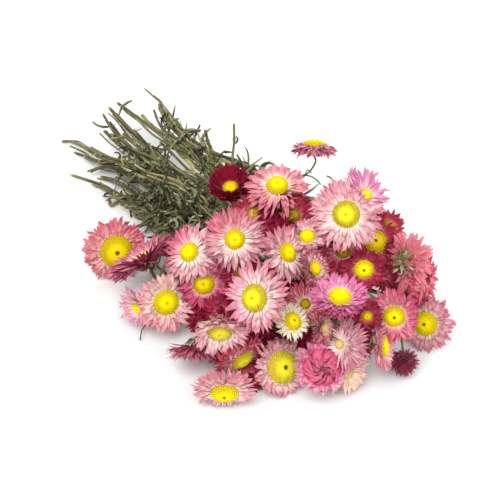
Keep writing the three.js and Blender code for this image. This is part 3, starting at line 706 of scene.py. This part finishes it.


# What is dry and brown: how wide, long and varied its grain is, then the colour it starts from and
# what is laid over it, as [by what, from, to, how much, colour].
# The shade rows paint shade on stems and leaves that lie low in the bunch.
dryLooks = {
    "stem_bark": dict(
        rough=0.8, bump=(0.6, 0.0005), grains={"grain": (6, 5, 43, 0), "patch": (1.5, 9, 29, 3)},
        first="#4a3f28", over=[
            ("seed", 0.05, 0.3, 1, "#605d3a"), ("seed", 0.4, 0.6, 1, "#807d55"),
            ("seed", 0.8, 0.95, 1, "#a3986a"), ("patch", 0.46, 0.7, 0.75, "#473a22"),
            ("grain", 0.45, 0.7, 0.45, "#b4b08a"), ("shade", None, None, 1, "#2c2412"),
            ("along", 0.02, 0.0, 0.7, "#c9c39a")]),
    "leaf_dried": dict(
        rough=0.85, bump=(0.7, 0.0006), grains={"grain": (5, 2.5, 47, 0), "patch": (1.4, 3, 23, 3)},
        first="#29261a", over=[
            ("seed", 0.0, 0.3, 1, "#4e5035"), ("seed", 0.36, 0.52, 1, "#858a66"),
            ("seed", 0.6, 0.75, 1, "#aeb28b"), ("seed", 0.88, 0.95, 1, "#a9a262"),
            ("patch", 0.48, 0.7, 0.8, "#352d1a"), ("grain", 0.5, 0.7, 0.5, "#b6b890"),
            ("shade", None, None, 1, "#262011")]),
    "bract_dry": dict(
        rough=0.7, bump=(0.5, 0.0004), grains={"grain": (7, 2, 53, 0)},
        first="#6f6a3e", over=[
            ("along", 0.1, 0.9, 1, "#b79a72"), ("seed", 0.6, 0.8, 0.8, "#dccdb0"),
            ("seed", 0.4, 0.1, 0.8, "#7a4a3c"), ("grain", 0.5, 0.7, 0.5, "#57502c")]),
}


def dryFinish(name):
    look = dryLooks[name]
    made = Finish(name, look["rough"])
    across, along, seed = made.parts("place")
    wires = {"along": along, "seed": seed, "shade": made.parts("tint")[1]}
    for key, (wide, long, varied, offset) in look["grains"].items():
        stretched = made.vector(across * wide, along * long, seed * varied + offset)
        wires[key] = made.noise(stretched)
    colour = look["first"]
    for key, low, high, share, laid in look["over"]:
        amount = wires[key] if low is None else made.ease(wires[key], low, high)
        colour = made.mix(amount * share, colour, laid)
    made.paint(colour, wires["grain"], *look["bump"])
    return made


# Height and dimple of the dome and size of a floret as shares of the disc's radius, and how many
# florets a disc has.
discShape = {"high": 0.46, "size": 0.73, "grains": {"disc": 160, "discFine": 320}}


def modelFloret(size):
    made = startPiece("floret", bpy.ops.mesh.primitive_circle_add, vertices=4, radius=size,
                      fill_type="NGON")
    pickAll()
    drawOut([(size * 0.7, 1.12), (size * 0.6, 0.55)])
    bpy.ops.object.mode_set(mode="OBJECT")
    return made


# A disc one unit across its radius: a low dome with a dimple, set with florets in spirals.
def modelDisc(grain, amount):
    high = discShape["high"]
    floret = modelFloret(discShape["size"] / math.sqrt(amount))
    made = startPiece(grain, bpy.ops.mesh.primitive_uv_sphere_add, segments=24, ring_count=14,
                      radius=1.0)
    pickAll()
    bpy.ops.mesh.bisect(plane_co=(0, 0, 0), plane_no=(0, 0, 1), clear_inner=True, use_fill=True)
    pickAll()
    scaleBy(1, 1, high)
    pick(lambda p: p.x ** 2 + p.y ** 2 < 0.02 and p.z > 0.3)
    move(0, 0, -0.07)
    bpy.ops.object.mode_set(mode="OBJECT")
    for piece in (made, floret):
        piece.data.attributes.new("place", "FLOAT_VECTOR", "POINT")
    domePoints, floretPoints = readPoints(made.data), readPoints(floret.data)
    writeValues(made.data, "place", (np.hypot(domePoints[:, 0], domePoints[:, 1]), 0, 0.5))
    meshes = [made.data]
    draw = random.Random(5)
    for k in range(amount):
        out = math.sqrt((k + 0.5) / amount) * 0.985
        turned = k * math.radians(137.508)
        rise = high * math.sqrt(max(1 - out ** 2, 0)) - 0.06 * math.exp(-(out / 0.12) ** 2)
        foot = Vector((out * math.cos(turned), out * math.sin(turned), rise))
        normal = Vector((foot.x * high, foot.y * high, foot.z / high + 0.05)).normalized()
        laid = (floretPoints * (0.95 - 0.08 * out) * draw.uniform(0.9, 1.1)) @ turnFor(normal).T
        mesh = floret.data.copy()
        writePoints(mesh, laid + np.array(foot))
        writeValues(mesh, "place", (out, floretPoints[:, 2] / floretPoints[:, 2].max(), draw.random()))
        meshes.append(mesh)
    bpy.data.objects.remove(made)
    bpy.data.objects.remove(floret)
    whole = joinPieces("discWhole", meshes, discFinish("lemon", False), 50)
    blanks[grain] = dict(mesh=whole.data, points=readPoints(whole.data))
    bpy.data.objects.remove(whole)
    print("disc modelled")


# Disc finishes: floret tops, the colour between the florets, which is both their painted shade and their
# dots, rim, and the spot in the middle.
discLooks = {
    "lemon": ("#fff200", "#b49a0a", "#f8de00", "#5a3c06"),
    "dotted": ("#fff32c", "#94781a", "#fcec24", "#3a2606"),
    "flecked": ("#fff63a", "#b2982a", "#fff02c", "#2e1e06"),
    "golden": ("#ffea00", "#a88a0a", "#f6d200", "#432a06"),
    "pale": ("#faee48", "#a8962e", "#ecdc3c", "#8a6a1a"),
    "aged": ("#d4b80c", "#6a4c06", "#b0900a", "#4f2c04"),
    "tuft": ("#efdc9a", "#c4a654", "#e2cc80", "#a88842"),
}
speckled = ["dotted", "flecked"]
discFinishes = {}


def discFinish(name, spot):
    if (name, spot) in discFinishes:
        return discFinishes[name, spot]
    tops, between, rim, middle = discLooks[name]
    made = Finish("disc_" + name + ("_spot" if spot else ""), 0.75)
    out, high, seed = made.parts("place")
    # painted shade: the low parts of the florets, between them, take the between colour, more towards the
    # rim
    paintedGapShade = made.ease(high, 0.7, 0.05) * (made.ease(out, 0.35, 0.8) * 0.75 + 0.1)
    colour = made.mix(made.ease(out, 0.72, 1.0) * 0.6, tops, rim)
    colour = made.mix(paintedGapShade, colour, between)
    if name in speckled:
        specks = made.ease(seed, 0.6, 0.7) * 0.6
    else:
        specks = made.ease(seed, 0.8, 1.0) * 0.5
    colour = made.mix(specks * made.ease(out, 0.35, 0.75), colour, between)
    centre = made.ease(out, 0.19 if spot else 0.16, 0.08)
    made.paint(made.mix(centre * (0.9 if spot else 0.35), colour, middle))
    discFinishes[name, spot] = made
    return made


def modelHub():
    made = startPiece("hub", bpy.ops.mesh.primitive_cylinder_add, vertices=16, radius=1, depth=1,
                      location=(0, 0, 0.5), end_fill_type="NGON")
    bpy.ops.mesh.select_mode(type="FACE")
    pickFaces(lambda face: face.normal.z < -0.9)
    drawOut([(-0.9, 0.82), (-1.4, 0.55), (-1.2, 0.4)])
    keepBlank(made, 1, 1)


# Papery bracts that cover the back of a head in rings: height and how far out they start.
bractShape = {"length": 5, "width": 2.2, "thickness": 0.2, "outline": [0.7, 1.0, 0.95, 0.7, 0.15],
              "rings": [(-4.4, 0.2), (-3.4, 0.4), (-2.2, 0.65)]}


def layBracts(head):
    draw = random.Random(head["seed"] + 7)
    start = head["size"][1] + hub["start"]
    look = {"large": 1.0, "wide": 1.0, "messy": 1.0, **head["bracts"]}
    large, messy = look["large"], look["messy"]
    meshes = []
    for ring, (low, out) in enumerate(bractShape["rings"]):
        many = round((7 + 3 * ring) / look["wide"] ** 0.7)
        for k in range(many):
            angle = 2 * math.pi * (k + 0.5 * (ring % 2) + 0.3 * messy * (draw.random() - 0.5)) / many
            length = (0.45 * start + 2.2) * large * draw.uniform(0.7, 1.3)
            path = petalPath(head, angle, start * out, low, length,
                             14 + 8 * ring + 16 * (messy - 1) * draw.uniform(-1, 0.6),
                             draw.uniform(-20, 26) * messy, draw.uniform(-60, 50) * messy, 0)
            meshes.append(layAlong("bract", path * mm, head["axis"],
                                   width=look["wide"] * draw.uniform(0.8, 1.3) * start / 6,
                                   cup=draw.uniform(-0.9, -0.1), roll=0.5 * draw.gauss(0, messy),
                                   seed=draw.random()))
    return meshes


def layHub(head):
    blank = blanks["hub"]
    start = head["size"][1] + hub["start"]
    points = blank["points"].copy()
    points[:, :2] *= start - 0.4
    points[:, 2] = np.where(points[:, 2] > 0, points[:, 2] * (hub["top"] + 0.6) - 0.6,
                            points[:, 2] * 1.1 - 0.6)
    mesh = blank["mesh"].copy()
    laid = onHead(head, points) * mm
    laid[:, 2] = np.maximum(laid[:, 2], 0.02 * mm)
    writePoints(mesh, laid)
    # the hub is painted in full painted shade: the head's dark colour, or else the outer side's colour
    writeValues(mesh, "tint", (0, 1, 1))
    return mesh


def layDisc(head):
    radius = head["size"][1]
    dome = radius * (1.15 if head["fused"] else 1.0)
    blank = blanks["discFine" if radius > 9 or head["disc"] == "dotted" else "disc"]
    points = blank["points"] * np.array([radius, radius, dome])
    points[:, 2] += hub["discBase"] - 0.5
    mesh = blank["mesh"].copy()
    writePoints(mesh, onHead(head, points) * mm)
    mesh.materials.clear()
    mesh.materials.append(discFinish(head["disc"], head["spot"]).material)
    made = bpy.data.objects.new("florets_" + head["name"], mesh)
    bpy.context.collection.objects.link(made)
    return made


for name, (outline, tips) in petalShape["kinds"].items():
    modelBlade(name, petalShape, outline, tips)
print("petals modelled")
modelBlade("bract", bractShape, bractShape["outline"])
modelHub()
for grain, amount in discShape["grains"].items():
    modelDisc(grain, amount)

for head in headList:
    finish = paperFinish(head)
    meshes = growPetals(head) + [layHub(head)]
    made = joinPieces("head_" + head["name"], meshes, finish)
    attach(made, "root")
    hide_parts("petals_" + head["node"])
    "petals_" + head["slot"]
    if head["disc"] != "none":
        made = layDisc(head)
        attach(made, "root")
        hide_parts("petals_" + head["node"] if head.get("fused") else "disc_" + head["name"])
bracts = []
for head in headList:
    if not head["inner"]:
        bracts += layBracts(head)
made = joinPieces("bracts", bracts, dryFinish("bract_dry"), 60)
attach(made, "root")
print("flower heads made:", len(headList), "bracts:", len(bracts))

# Stems run from their cut ends through the neck of the bunch and on to the heads.
stemShape = {"radius": 1.25, "length": 100, "rings": 26, "ribs": 5, "calyx": 4.9}
cutEnds = [
    (-117, 67, 1), (-110, 61, 4), (-112, 47, 0.6), (-99, 49, 8), (-92, 46, 1.5), (-88, 29, 0.6),
    (-72, 47, 12), (-92, 85, 24), (-88, 89, 27), (-83, 92, 22), (-67, 84, 18), (-60, 87, 26),
    (-57, 89, 20), (-66, 101, 30), (-91, 74, 14), (-97, 60, 12), (-84, 70, 17), (-78, 76, 22),
    (-80, 40, 1), (-70, 30, 2), (-9.5, 78, 44), (-28, 75, 33),
]
# number of the cut end, places between, head
throughList = [
    (2, [(-91, 40, 2), (-77, 32, 4), (-63, 28, 7), (-51, 24.5, 12), (-30, -8, 19)], "great_disc"),
    (1, [(-93, 55, 6), (-74, 50.5, 9), (-58, 41, 13), (-38, 32, 17), (10, 0, 20)], "pale_end"),
    (7, [(-82, 70, 22), (-63, 55.5, 20), (-47, 46, 19), (-31, 36.5, 19.5)], "centre"),
    (8, [(-74, 74, 23), (-58, 61, 21), (-43, 49, 20), (-26, 39.5, 21)], "orchid"),
    (9, [(-69, 82, 22), (-51, 68, 22), (-39, 60, 22), (-17.5, 45.5, 23)], "great_pale"),
    (12, [(-51, 79, 22), (-40, 68, 23), (-28.5, 58, 23.5), (-13, 49, 25)], "burgundy"),
    (13, [(-54, 90, 29), (-43, 76, 27), (-29, 62, 26), (-8, 52.5, 27.5)], "lone_back"),
]
# one stem crosses and holds all of them, from the head at the far left
crossing = {"head": "coral_left", "places": [
    (-67.5, 15.5, 10), (-51, 24.5, 13), (-38, 32, 17.5), (-31, 36.5, 19.5), (-26, 39.5, 21),
    (-17.5, 45.5, 23.5), (-13, 49, 25), (-8, 52.5, 27.5)]}
stemless = ["turned_away"]
loneBend = {"low": (34, 46.5, 49), "high": (41, 55, 57)}      # the stem of the lone head
# The other stems that show: thickness, height at the cut end and where it goes under the heads,
# and its places as [across, up].
looseStems = [
    (0.5, 29, 25, [(-57.5, 93.8), (-54.4, 90.6), (-48.8, 81.9), (-43.1, 73.1), (-39.4, 67.5),
        (-31.2, 55.6), (-23.1, 49.4)]),
    (0.7, 25, 24, [(-53.8, 84.4), (-48.8, 76.2), (-41.2, 68.8), (-32.5, 60), (-22.5, 51.2)]),
    (0.7, 26, 22, [(-60, 87.5), (-58.1, 81.9), (-55, 76.2), (-49.4, 71.2), (-40, 62.5)]),
    (0.95, 18, 24, [(-67.5, 84.4), (-61.2, 77.5), (-51.2, 71.2), (-40.6, 63.8), (-31.2, 56.9),
        (-19.4, 49.4)]),
    (0.7, 22, 21, [(-80.6, 90), (-76.2, 85.6), (-69.4, 80.6), (-61.2, 72.5), (-51.2, 66.2),
        (-39.4, 57.5)]),
    (0.8, 24, 17, [(-85.6, 85), (-81.2, 80.6), (-74.4, 72.5), (-66.9, 65), (-58.8, 56.9), (-48.8, 46.2)]),
    (0.75, 20, 16, [(-88.8, 80), (-85, 75), (-80.6, 69.4), (-74.4, 63.1), (-63.1, 53.8), (-51.2, 45.6)]),
    (0.7, 14, 14, [(-91.2, 74.4), (-85, 68.1), (-77.5, 61.9), (-67.5, 55.6), (-56.2, 46.2)]),
    (0.8, 1.2, 12, [(-117.5, 67.8), (-111.2, 67.8), (-102.5, 63.4), (-94.7, 58.8), (-85, 54.7),
        (-77.5, 49.4), (-67.5, 46.2), (-56.2, 40)]),
    (0.7, 6, 17, [(-103.8, 58.1), (-93.1, 54.1), (-85, 51.9), (-74.1, 49.4), (-63.1, 42.5),
        (-51.2, 37.5), (-39.4, 31.2)]),
    (0.8, 6, 13, [(-100, 48.8), (-93.1, 51.6), (-85, 51.6), (-74.1, 49.4), (-63.8, 42.5), (-53.1, 33.8)]),
    (0.6, 2, 8, [(-98.8, 41.2), (-91.6, 38.1), (-85, 33.8), (-77.2, 30), (-63.1, 26.2), (-50.3, 21.2)]),
    (0.75, 2, 12, [(-93.1, 45.9), (-84.4, 43.8), (-77.2, 39.7), (-70.9, 35), (-63.1, 30),
        (-53.4, 26.2), (-43.8, 18.8)]),
    (0.8, 16, 22, [(-71.6, 47.5), (-63.1, 43.8), (-52.5, 40.6), (-44.7, 37.5), (-37.5, 32.5),
        (-28.8, 23.8)]),
    (0.8, 1, 9, [(-87.8, 30.9), (-86.9, 27.8), (-82.8, 30), (-75.6, 30), (-70.9, 26.2), (-62.8, 20.6),
        (-56.2, 13.8), (-50, 7.5)]),
    (0.6, 3, 8, [(-78.1, 28.4), (-69.4, 23.8), (-61.2, 19.7), (-55.9, 14.4), (-48.8, 6.2)]),
    (0.95, 8, 20, [(-63.8, 17.5), (-59.7, 20.6), (-50.3, 25.3), (-42.2, 30.9), (-35, 34.1)]),
    (0.7, 44, 30, [(-10, 78.8), (-10, 66.6), (-10.9, 55.6), (-8.8, 45), (0, 31.2)]),
    (0.8, 28, 30, [(-39.1, 68.1), (-28.8, 61.9), (-19.4, 56.9), (-7.5, 53.1), (0.6, 48.4), (7.5, 42.5)]),
    (0.7, 22, 24, [(-50.9, 64.4), (-39.1, 60.3), (-27.2, 55.6), (-15.3, 46.2), (-6.2, 36.2)]),
    (0.7, 20, 20, [(-56.2, 67.5), (-47.2, 58.8), (-39.1, 50.6), (-28.8, 42.8), (-18.8, 32.5)]),
    (0.5, 8, 9, [(-62.5, -13.8), (-58.8, -6.2), (-56.2, 3.1), (-54.4, 13.8), (-50, 23.8)]),
    (0.5, 9, 12, [(-48.8, -20), (-50, -11.2), (-48.8, 0), (-46.2, 9.4)]),
    (0.65, 10, 14, [(-76.2, 52.5), (-65, 45), (-56.2, 35), (-48.8, 23.8), (-40, 11.2)]),
    (0.6, 9, 12, [(-82.5, 46.2), (-70, 37.5), (-60, 28.8), (-52.5, 17.5), (-46.2, 5)]),
    (0.65, 16, 16, [(-68.8, 58.8), (-58.8, 51.2), (-50, 41.2), (-41.2, 28.8), (-32.5, 15)]),
]
shownEnds = [0, 3, 4, 5, 6, 10, 11, 14, 20]
# Dry leaves that stand out from the bunch: width and places.
loneLeaves = [
    (1.0, [(-43.8, 70, 30), (-40, 73.8, 32), (-35.6, 75, 33), (-30.6, 75.3, 33)]),
    (0.9, [(-27.5, 65, 30), (-29.4, 68.8, 32), (-28.1, 73.1, 33), (-25, 76.3, 33)]),
    (0.8, [(-82.5, 82.5, 24), (-80, 88.8, 26), (-76.3, 92.5, 27), (-73.8, 93.8, 27)]),
    (0.6, [(-84.4, 78, 22), (-90, 76.9, 20), (-95.6, 78, 19), (-98.8, 80, 18)]),
    (0.5, [(-10, 65.6, 38), (-7.5, 68.8, 38), (-8.8, 71.3, 38)]),
    (1.1, [(-42, 58, 27), (-39, 55, 28), (-36, 51, 28), (-35, 47, 27)]),
]
# Dry curled bits that stand alone: thickness and places.
twigs = [
    (0.35, [(34.4, 46.8, 50), (38, 46, 51), (42, 43.5, 51), (44, 41, 51)]),
    (0.3, [(33.5, 45, 50), (36, 50, 52), (38.5, 48, 52)]),
    (0.4, [(49.4, 36.2, 70), (51.9, 42.5, 72), (50.6, 45, 73), (48.1, 46.2, 72)]),
    (0.3, [(-54, -40, 14), (-59.4, -46.9, 9), (-64.4, -46.2, 7), (-67.5, -50, 5), (-68.8, -56.3, 2)]),
]


# A smooth line through the points, closest to them where they lie close together.
def curveThrough(points, steps):
    points = [np.asarray(p, float) for p in points]
    line = []
    for k in range(steps + 1):
        place = (len(points) - 1) * k / steps
        low = min(int(place), len(points) - 2)
        part = place - low
        first, second = points[low], points[low + 1]
        before = points[low - 1] if low > 0 else 2 * first - second
        after = points[low + 2] if low + 2 < len(points) else 2 * second - first
        gaps = [float(np.linalg.norm(b - a)) ** 0.5 for a, b in
                [(before, first), (first, second), (second, after)]]
        slopeIn = ((first - before) / gaps[0] - (second - before) / (gaps[0] + gaps[1])
                   + (second - first) / gaps[1]) * gaps[1]
        slopeOut = ((second - first) / gaps[1] - (after - first) / (gaps[1] + gaps[2])
                    + (after - second) / gaps[2]) * gaps[1]
        line.append(first + slopeIn * part
                    + (3 * (second - first) - 2 * slopeIn - slopeOut) * part ** 2
                    + (2 * (first - second) + slopeIn + slopeOut) * part ** 3)
    line = np.array(line)
    line[:, 2] = np.maximum(line[:, 2], 0.6)
    return line


def placeAll(places):
    return [placeAt(*place) for place in places]


def footOf(head):
    foot = head["centre"] - head["axis"] * stemShape["calyx"]
    foot[2] = max(foot[2], 2)
    under = foot - head["axis"] * (0.5 * head["size"][0] + 8)
    under[2] = max(min(under[2], foot[2]), 3)
    return foot, under


def pointAlong(line, share):
    place = share * (len(line) - 1)
    low = min(int(place), len(line) - 2)
    way = line[low + 1] - line[low]
    return line[low] + way * (place - low), way / np.linalg.norm(way)


trunks = []
for endNumber, between, headName in throughList:
    foot, under = footOf(heads[headName])
    if headName == "lone_back":
        under = placeAt(*loneBend["low"])
    points = placeAll([cutEnds[endNumber]] + between) + [under, foot]
    if headName == "lone_back":
        points.insert(-1, placeAt(*loneBend["high"]))
    trunks.append(dict(points=points, line=curveThrough(points, len(points) + 1), taken=[]))
foot, under = footOf(heads[crossing["head"]])
crossingPoints = [foot, under] + placeAll(crossing["places"])


# The nearest free place on a through stem from which a side stem reaches its target.
def leavingPlace(target, low, high, backward):
    best = None
    for trunk in trunks:
        share = low
        while share < high:
            if not any(abs(other - share) < 0.03 for other in trunk["taken"]):
                start, way = pointAlong(trunk["line"], share)
                toward = target - start
                away = float(np.linalg.norm(toward))
                cosine = float(np.clip((-way if backward else way) @ toward / away, -1, 1))
                cost = away + 45 * math.acos(cosine)
                if away > 16 and (best is None or cost < best[0]):
                    best = (cost, trunk, share)
            share += 0.035
    best[1]["taken"].append(best[2])
    return best[1], best[2]


def modelStem():
    size, length = stemShape["radius"] * mm, stemShape["length"] * mm
    made = startPiece("stem", bpy.ops.mesh.primitive_circle_add, vertices=2 * stemShape["ribs"],
                      radius=size, fill_type="NGON", rotation=(math.radians(90), 0, 0))
    pickAll()
    bpy.ops.mesh.inset(thickness=size * 0.35)
    move(0, size * 0.4, 0)
    pickAll()
    rings, corners = stemShape["rings"], 2 * stemShape["ribs"]
    for k in range(rings):
        bpy.ops.mesh.extrude_region_move(TRANSFORM_OT_translate={"value": (0, length / rings, 0)})
    # every second corner becomes a groove, and every seventh ring a node
    for k in range(1, corners, 2):
        turned = 2 * math.pi * k / corners
        pick(lambda p: math.hypot(p.x, p.z) > 0.8 * size
             and math.cos(math.atan2(p.z, p.x) - turned) > 0.99)
        scaleBy(0.84, 1, 0.84)
    for k in range(4, rings, 7):
        pick(lambda p: abs(p.y - k * length / rings) < 0.3 * mm)
        scaleBy(1.22, 1, 1.22)
    faceOutward()
    keepBlank(made, length, 2 * size)


leafShape = {"length": 15, "width": 3.2, "thickness": 0.3, "fold": 0.9, "count": 1400,
             "outline": [0.28, 0.55, 0.85, 1.0, 0.95, 0.8, 0.55, 0.12]}
# Where the shrivelled leaves are thickest and where a gap shows between the stems, as [across, up].
bundleGap = {"middle": (-41, 50.5), "ahead": (0.72, -0.69), "long": 10.5, "wide": 4.2}
leafVary = {"aside": (0.2, 0.8), "length": (0.5, 1.25), "turn": (2, 26), "clumpTurn": (10, 42),
            "width": (0.22, 0.7), "cup": (0, 1.1), "roll": (-3, 3)}
leafClump = {"share": 0.42, "middle": (-35, 20), "ahead": (17, -28), "wide": 15, "height": 16}
modelStem()
modelBlade("leaf", leafShape, leafShape["outline"], fold=leafShape["fold"])
draw = random.Random(41)
stemRows = []      # line, thickness, share of it that bears leaves


def overGap(line):
    away = line - eye
    depth = away @ np.array([0, cosTilt, -sinTilt])
    seen = np.stack([away[:, 0], away @ np.array([0, sinTilt, cosTilt])], axis=1)
    seen = seen * (view["distance"] / depth)[:, None] - np.array(bundleGap["middle"])
    along = seen @ np.array(bundleGap["ahead"])
    aside = seen @ np.array([-bundleGap["ahead"][1], bundleGap["ahead"][0]])
    return ((along / bundleGap["long"]) ** 2 + (aside / bundleGap["wide"]) ** 2 < 1).any()


def shaken(size):
    return np.array([draw.uniform(-size, size) for _ in range(3)])


def sideways(low, high):
    turned = draw.uniform(0, 2 * math.pi)
    return np.array([math.cos(turned), math.sin(turned), draw.uniform(low, high)])


def onward(points, length):
    way = points[-1] - points[-2]
    return points[-1] + way / np.linalg.norm(way) * length


def besides(trunk, low, high, amount):
    aside = sideways(-0.5, 1.0)
    return [pointAlong(trunk["line"], low + (high - low) * k / (amount - 1))[0]
            + aside * draw.uniform(1.2, 3.4) for k in range(amount)]


for trunk in trunks:
    lone = trunk is trunks[-1]
    stemRows.append((curveThrough(trunk["points"], 40), 0.5 if lone else draw.uniform(0.7, 0.95),
                     (0.02, 0.5 if lone else 0.85)))
stemRows.append((curveThrough(crossingPoints, 40), 1.1, (0.2, 1.0)))
carried = [crossing["head"]] + stemless + [headName for _, _, headName in throughList]
for head in headList:
    if head["name"] in carried or head["inner"]:
        continue
    foot, under = footOf(head)
    trunk, share = leavingPlace(foot, 0.5, 0.88, False)
    points = besides(trunk, max(share - 0.3, 0.2), share - 0.08, 3) + [
        pointAlong(trunk["line"], share)[0], under, foot]
    stemRows.append((curveThrough(points, 32), draw.uniform(0.5, 0.8), (0.0, 0.8)))
throughEnds = [endNumber for endNumber, _, _ in throughList]
for number, cutEnd in enumerate(cutEnds):
    if number in throughEnds + shownEnds:
        continue
    end = placeAt(*cutEnd)
    trunk, share = leavingPlace(end, 0.14, 0.5, True)
    start = pointAlong(trunk["line"], share)[0]
    points = [end, (end + start) / 2 + shaken(1.5), start]
    points += besides(trunk, share + 0.1, 0.6, 4)
    stemRows.append((curveThrough(points, 34), draw.uniform(0.6, 0.9), (0.03, 0.95)))
for thick, low, high, places in looseStems:
    reach = np.linspace(low, high, len(places))
    points = [placeAt(*place, height) for place, height in zip(places, reach)]
    points.append(onward(points, 26) + np.array([0, 0, -2]))
    stemRows.append((curveThrough(points, 34), thick, (0.04, 0.8)))
# thinner ones lie beside them, more often beside those in the middle
for _ in range(100):
    thick, low, high, places = draw.choice(looseStems[:17] + looseStems[18:] + looseStems[7:17])
    first = draw.randrange(0, len(places) - 3) if len(places) > 4 else 0
    reach = np.linspace(low, high, len(places))[first:]
    aside = np.array([draw.uniform(-3.5, 3.5), draw.uniform(-3.5, 3.5), draw.uniform(-2, 5)])
    points = [placeAt(*place, height) + aside + shaken(0.6)
              for place, height in zip(places[first:], reach)]
    line = curveThrough(points + [onward(points, 20)], 30)
    if not overGap(line):
        stemRows.append((line, draw.uniform(0.35, 0.65), (0.1, 0.8)))
for headName in stemless:
    foot, under = footOf(heads[headName])
    stub = heads[headName]["axis"] * 1.6
    stemRows.append((curveThrough([foot + stub, foot, foot - stub, foot - stub * 1.8], 24), 1.1, None))
for thick, places in twigs:
    stemRows.append((curveThrough(placeAll(places), 24), thick, None))

meshes = []
for line, thick, _ in stemRows:
    # painted shade: stems that lie lower in the bunch are painted darker
    paintedShade = min(max(0.5 - line[:, 2].mean() / 40, 0), 0.45) * draw.uniform(0.2, 1)
    meshes.append(layAlong("stem", line * mm, (0.3, 0.2, 1), width=thick, depth=thick,
                           roll=draw.uniform(-2, 2), tint=(0, paintedShade),
                           seed=draw.uniform(0.6 if line[0][2] < 4 else 0, 1)))
made = joinPieces("stems", meshes, dryFinish("stem_bark"), 50)
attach(made, "root")
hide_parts("stems_and_leaves")

meshes = []
for width, places in loneLeaves:
    line = curveThrough(placeAll(places), 8)
    meshes.append(layAlong("leaf", line * mm, (0, -0.6, 1), width=width, cup=0.6, roll=1.2,
                           seed=0.55 + 0.4 * (width > 1)))
while len(meshes) < leafShape["count"]:
    clumped = draw.random() < leafClump["share"]
    if clumped:
        along, beside, over = [draw.gauss(0, 0.5) for _ in range(3)]
        ahead = np.array(leafClump["ahead"])
        spot = np.array(leafClump["middle"]) + ahead * along + leafClump["wide"] * beside * np.array(
            [-ahead[1], ahead[0]]) / np.linalg.norm(ahead)
        start = placeAt(spot[0], spot[1], leafClump["height"] * (1 + over))
        way = np.array([ahead[0], ahead[1], 0]) / np.linalg.norm(ahead)
    else:
        line, _, (low, high) = draw.choice([row for row in stemRows if row[2]])
        start, way = pointAlong(line, low + (high - low) * draw.random() ** 0.4)
    aside = sideways(-0.4, 0.7)
    way = way * (0.9 if draw.random() < 0.6 else -0.7) + aside * draw.uniform(*leafVary["aside"])
    way /= np.linalg.norm(way)
    curlAxis = np.array([draw.gauss(0, 1) for _ in range(3)])
    curlAxis /= np.linalg.norm(curlAxis)
    length = leafShape["length"] * draw.uniform(*leafVary["length"])
    turnEach = math.radians(draw.uniform(*leafVary["clumpTurn" if clumped else "turn"]))
    point, line = start, [start]
    for _ in range(7):
        way = way * math.cos(turnEach) + np.cross(curlAxis, way) * math.sin(turnEach)
        way /= np.linalg.norm(way)
        point = point + way * length / 7
        line.append(point)
    line = np.array(line)
    if line[:, 2].min() < 0.3:
        line[:, 2] = np.maximum(line[:, 2], 0.3 + 0.2 * np.arange(8))
    bad = False
    for head in headList:
        height, out = measuredOn(head, line)
        if ((out < head["size"][0]) & (height > -2) & (height < 12)).any():
            bad = True
    if bad or abs(line[:, :2]).max() > 135 or overGap(line):
        continue
    # painted shade: leaves that lie lower in the pile are painted darker
    paintedShade = min(max(0.85 - line[:, 2].mean() / 24, 0), 0.8) * draw.uniform(0.2, 1)
    meshes.append(layAlong("leaf", line * mm, (draw.uniform(-1, 1), draw.uniform(-1, 1), 1),
                           tint=(0, paintedShade), width=draw.uniform(*leafVary["width"]),
                           cup=draw.uniform(*leafVary["cup"]), roll=draw.uniform(*leafVary["roll"]),
                           seed=draw.random() * (0.8 if clumped else 1)))
made = joinPieces("leaves", meshes, dryFinish("leaf_dried"), 60)
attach(made, "root")
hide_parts("stems_and_leaves")
print("stems and leaves made:", len(stemRows), len(meshes))

# Floor, lights and camera.
bpy.ops.object.select_all(action="DESELECT")
bpy.ops.mesh.primitive_plane_add(size=12, location=(0, 0, 0))
floor = bpy.context.object
floor.name = "floor"
floorFinish = Finish("floor_white", 0.9)
floorFinish.paint((0.9, 0.9, 0.9, 1))
floor.data.materials.append(floorFinish.material)

lights = {
    "key": dict(place=(-0.4, -0.8, 1.6), size=1.1, power=25),
    "fill": dict(place=(1.1, -0.9, 1.2), size=1.6, power=15),
    "back": dict(place=(0.1, 1.3, 1.3), size=1.4, power=12),
}
for name, light in lights.items():
    data = bpy.data.lights.new(name, "AREA")
    data.size = light["size"]
    data.energy = light["power"]
    lamp = bpy.data.objects.new(name, data)
    lamp.location = light["place"]
    lamp.rotation_euler = (-Vector(light["place"])).to_track_quat("-Z", "Y").to_euler()
    bpy.context.scene.collection.objects.link(lamp)

world = bpy.data.worlds.new("studio")
world.use_nodes = True
world.node_tree.nodes["Background"].inputs["Color"].default_value = (1, 1, 1, 1)
world.node_tree.nodes["Background"].inputs["Strength"].default_value = 0.5
bpy.context.scene.world = world
bpy.context.scene.view_settings.view_transform = "Standard"

cameraData = bpy.data.cameras.new("camera")
cameraData.lens = view["lens"]
cameraData.sensor_width = 36
camera = bpy.data.objects.new("camera", cameraData)
camera.location = Vector(eye) * mm
target = Vector((shift[0], shift[1], view["height"])) * mm
camera.rotation_euler = (target - camera.location).to_track_quat("-Z", "Y").to_euler()
bpy.context.scene.collection.objects.link(camera)
bpy.context.scene.camera = camera
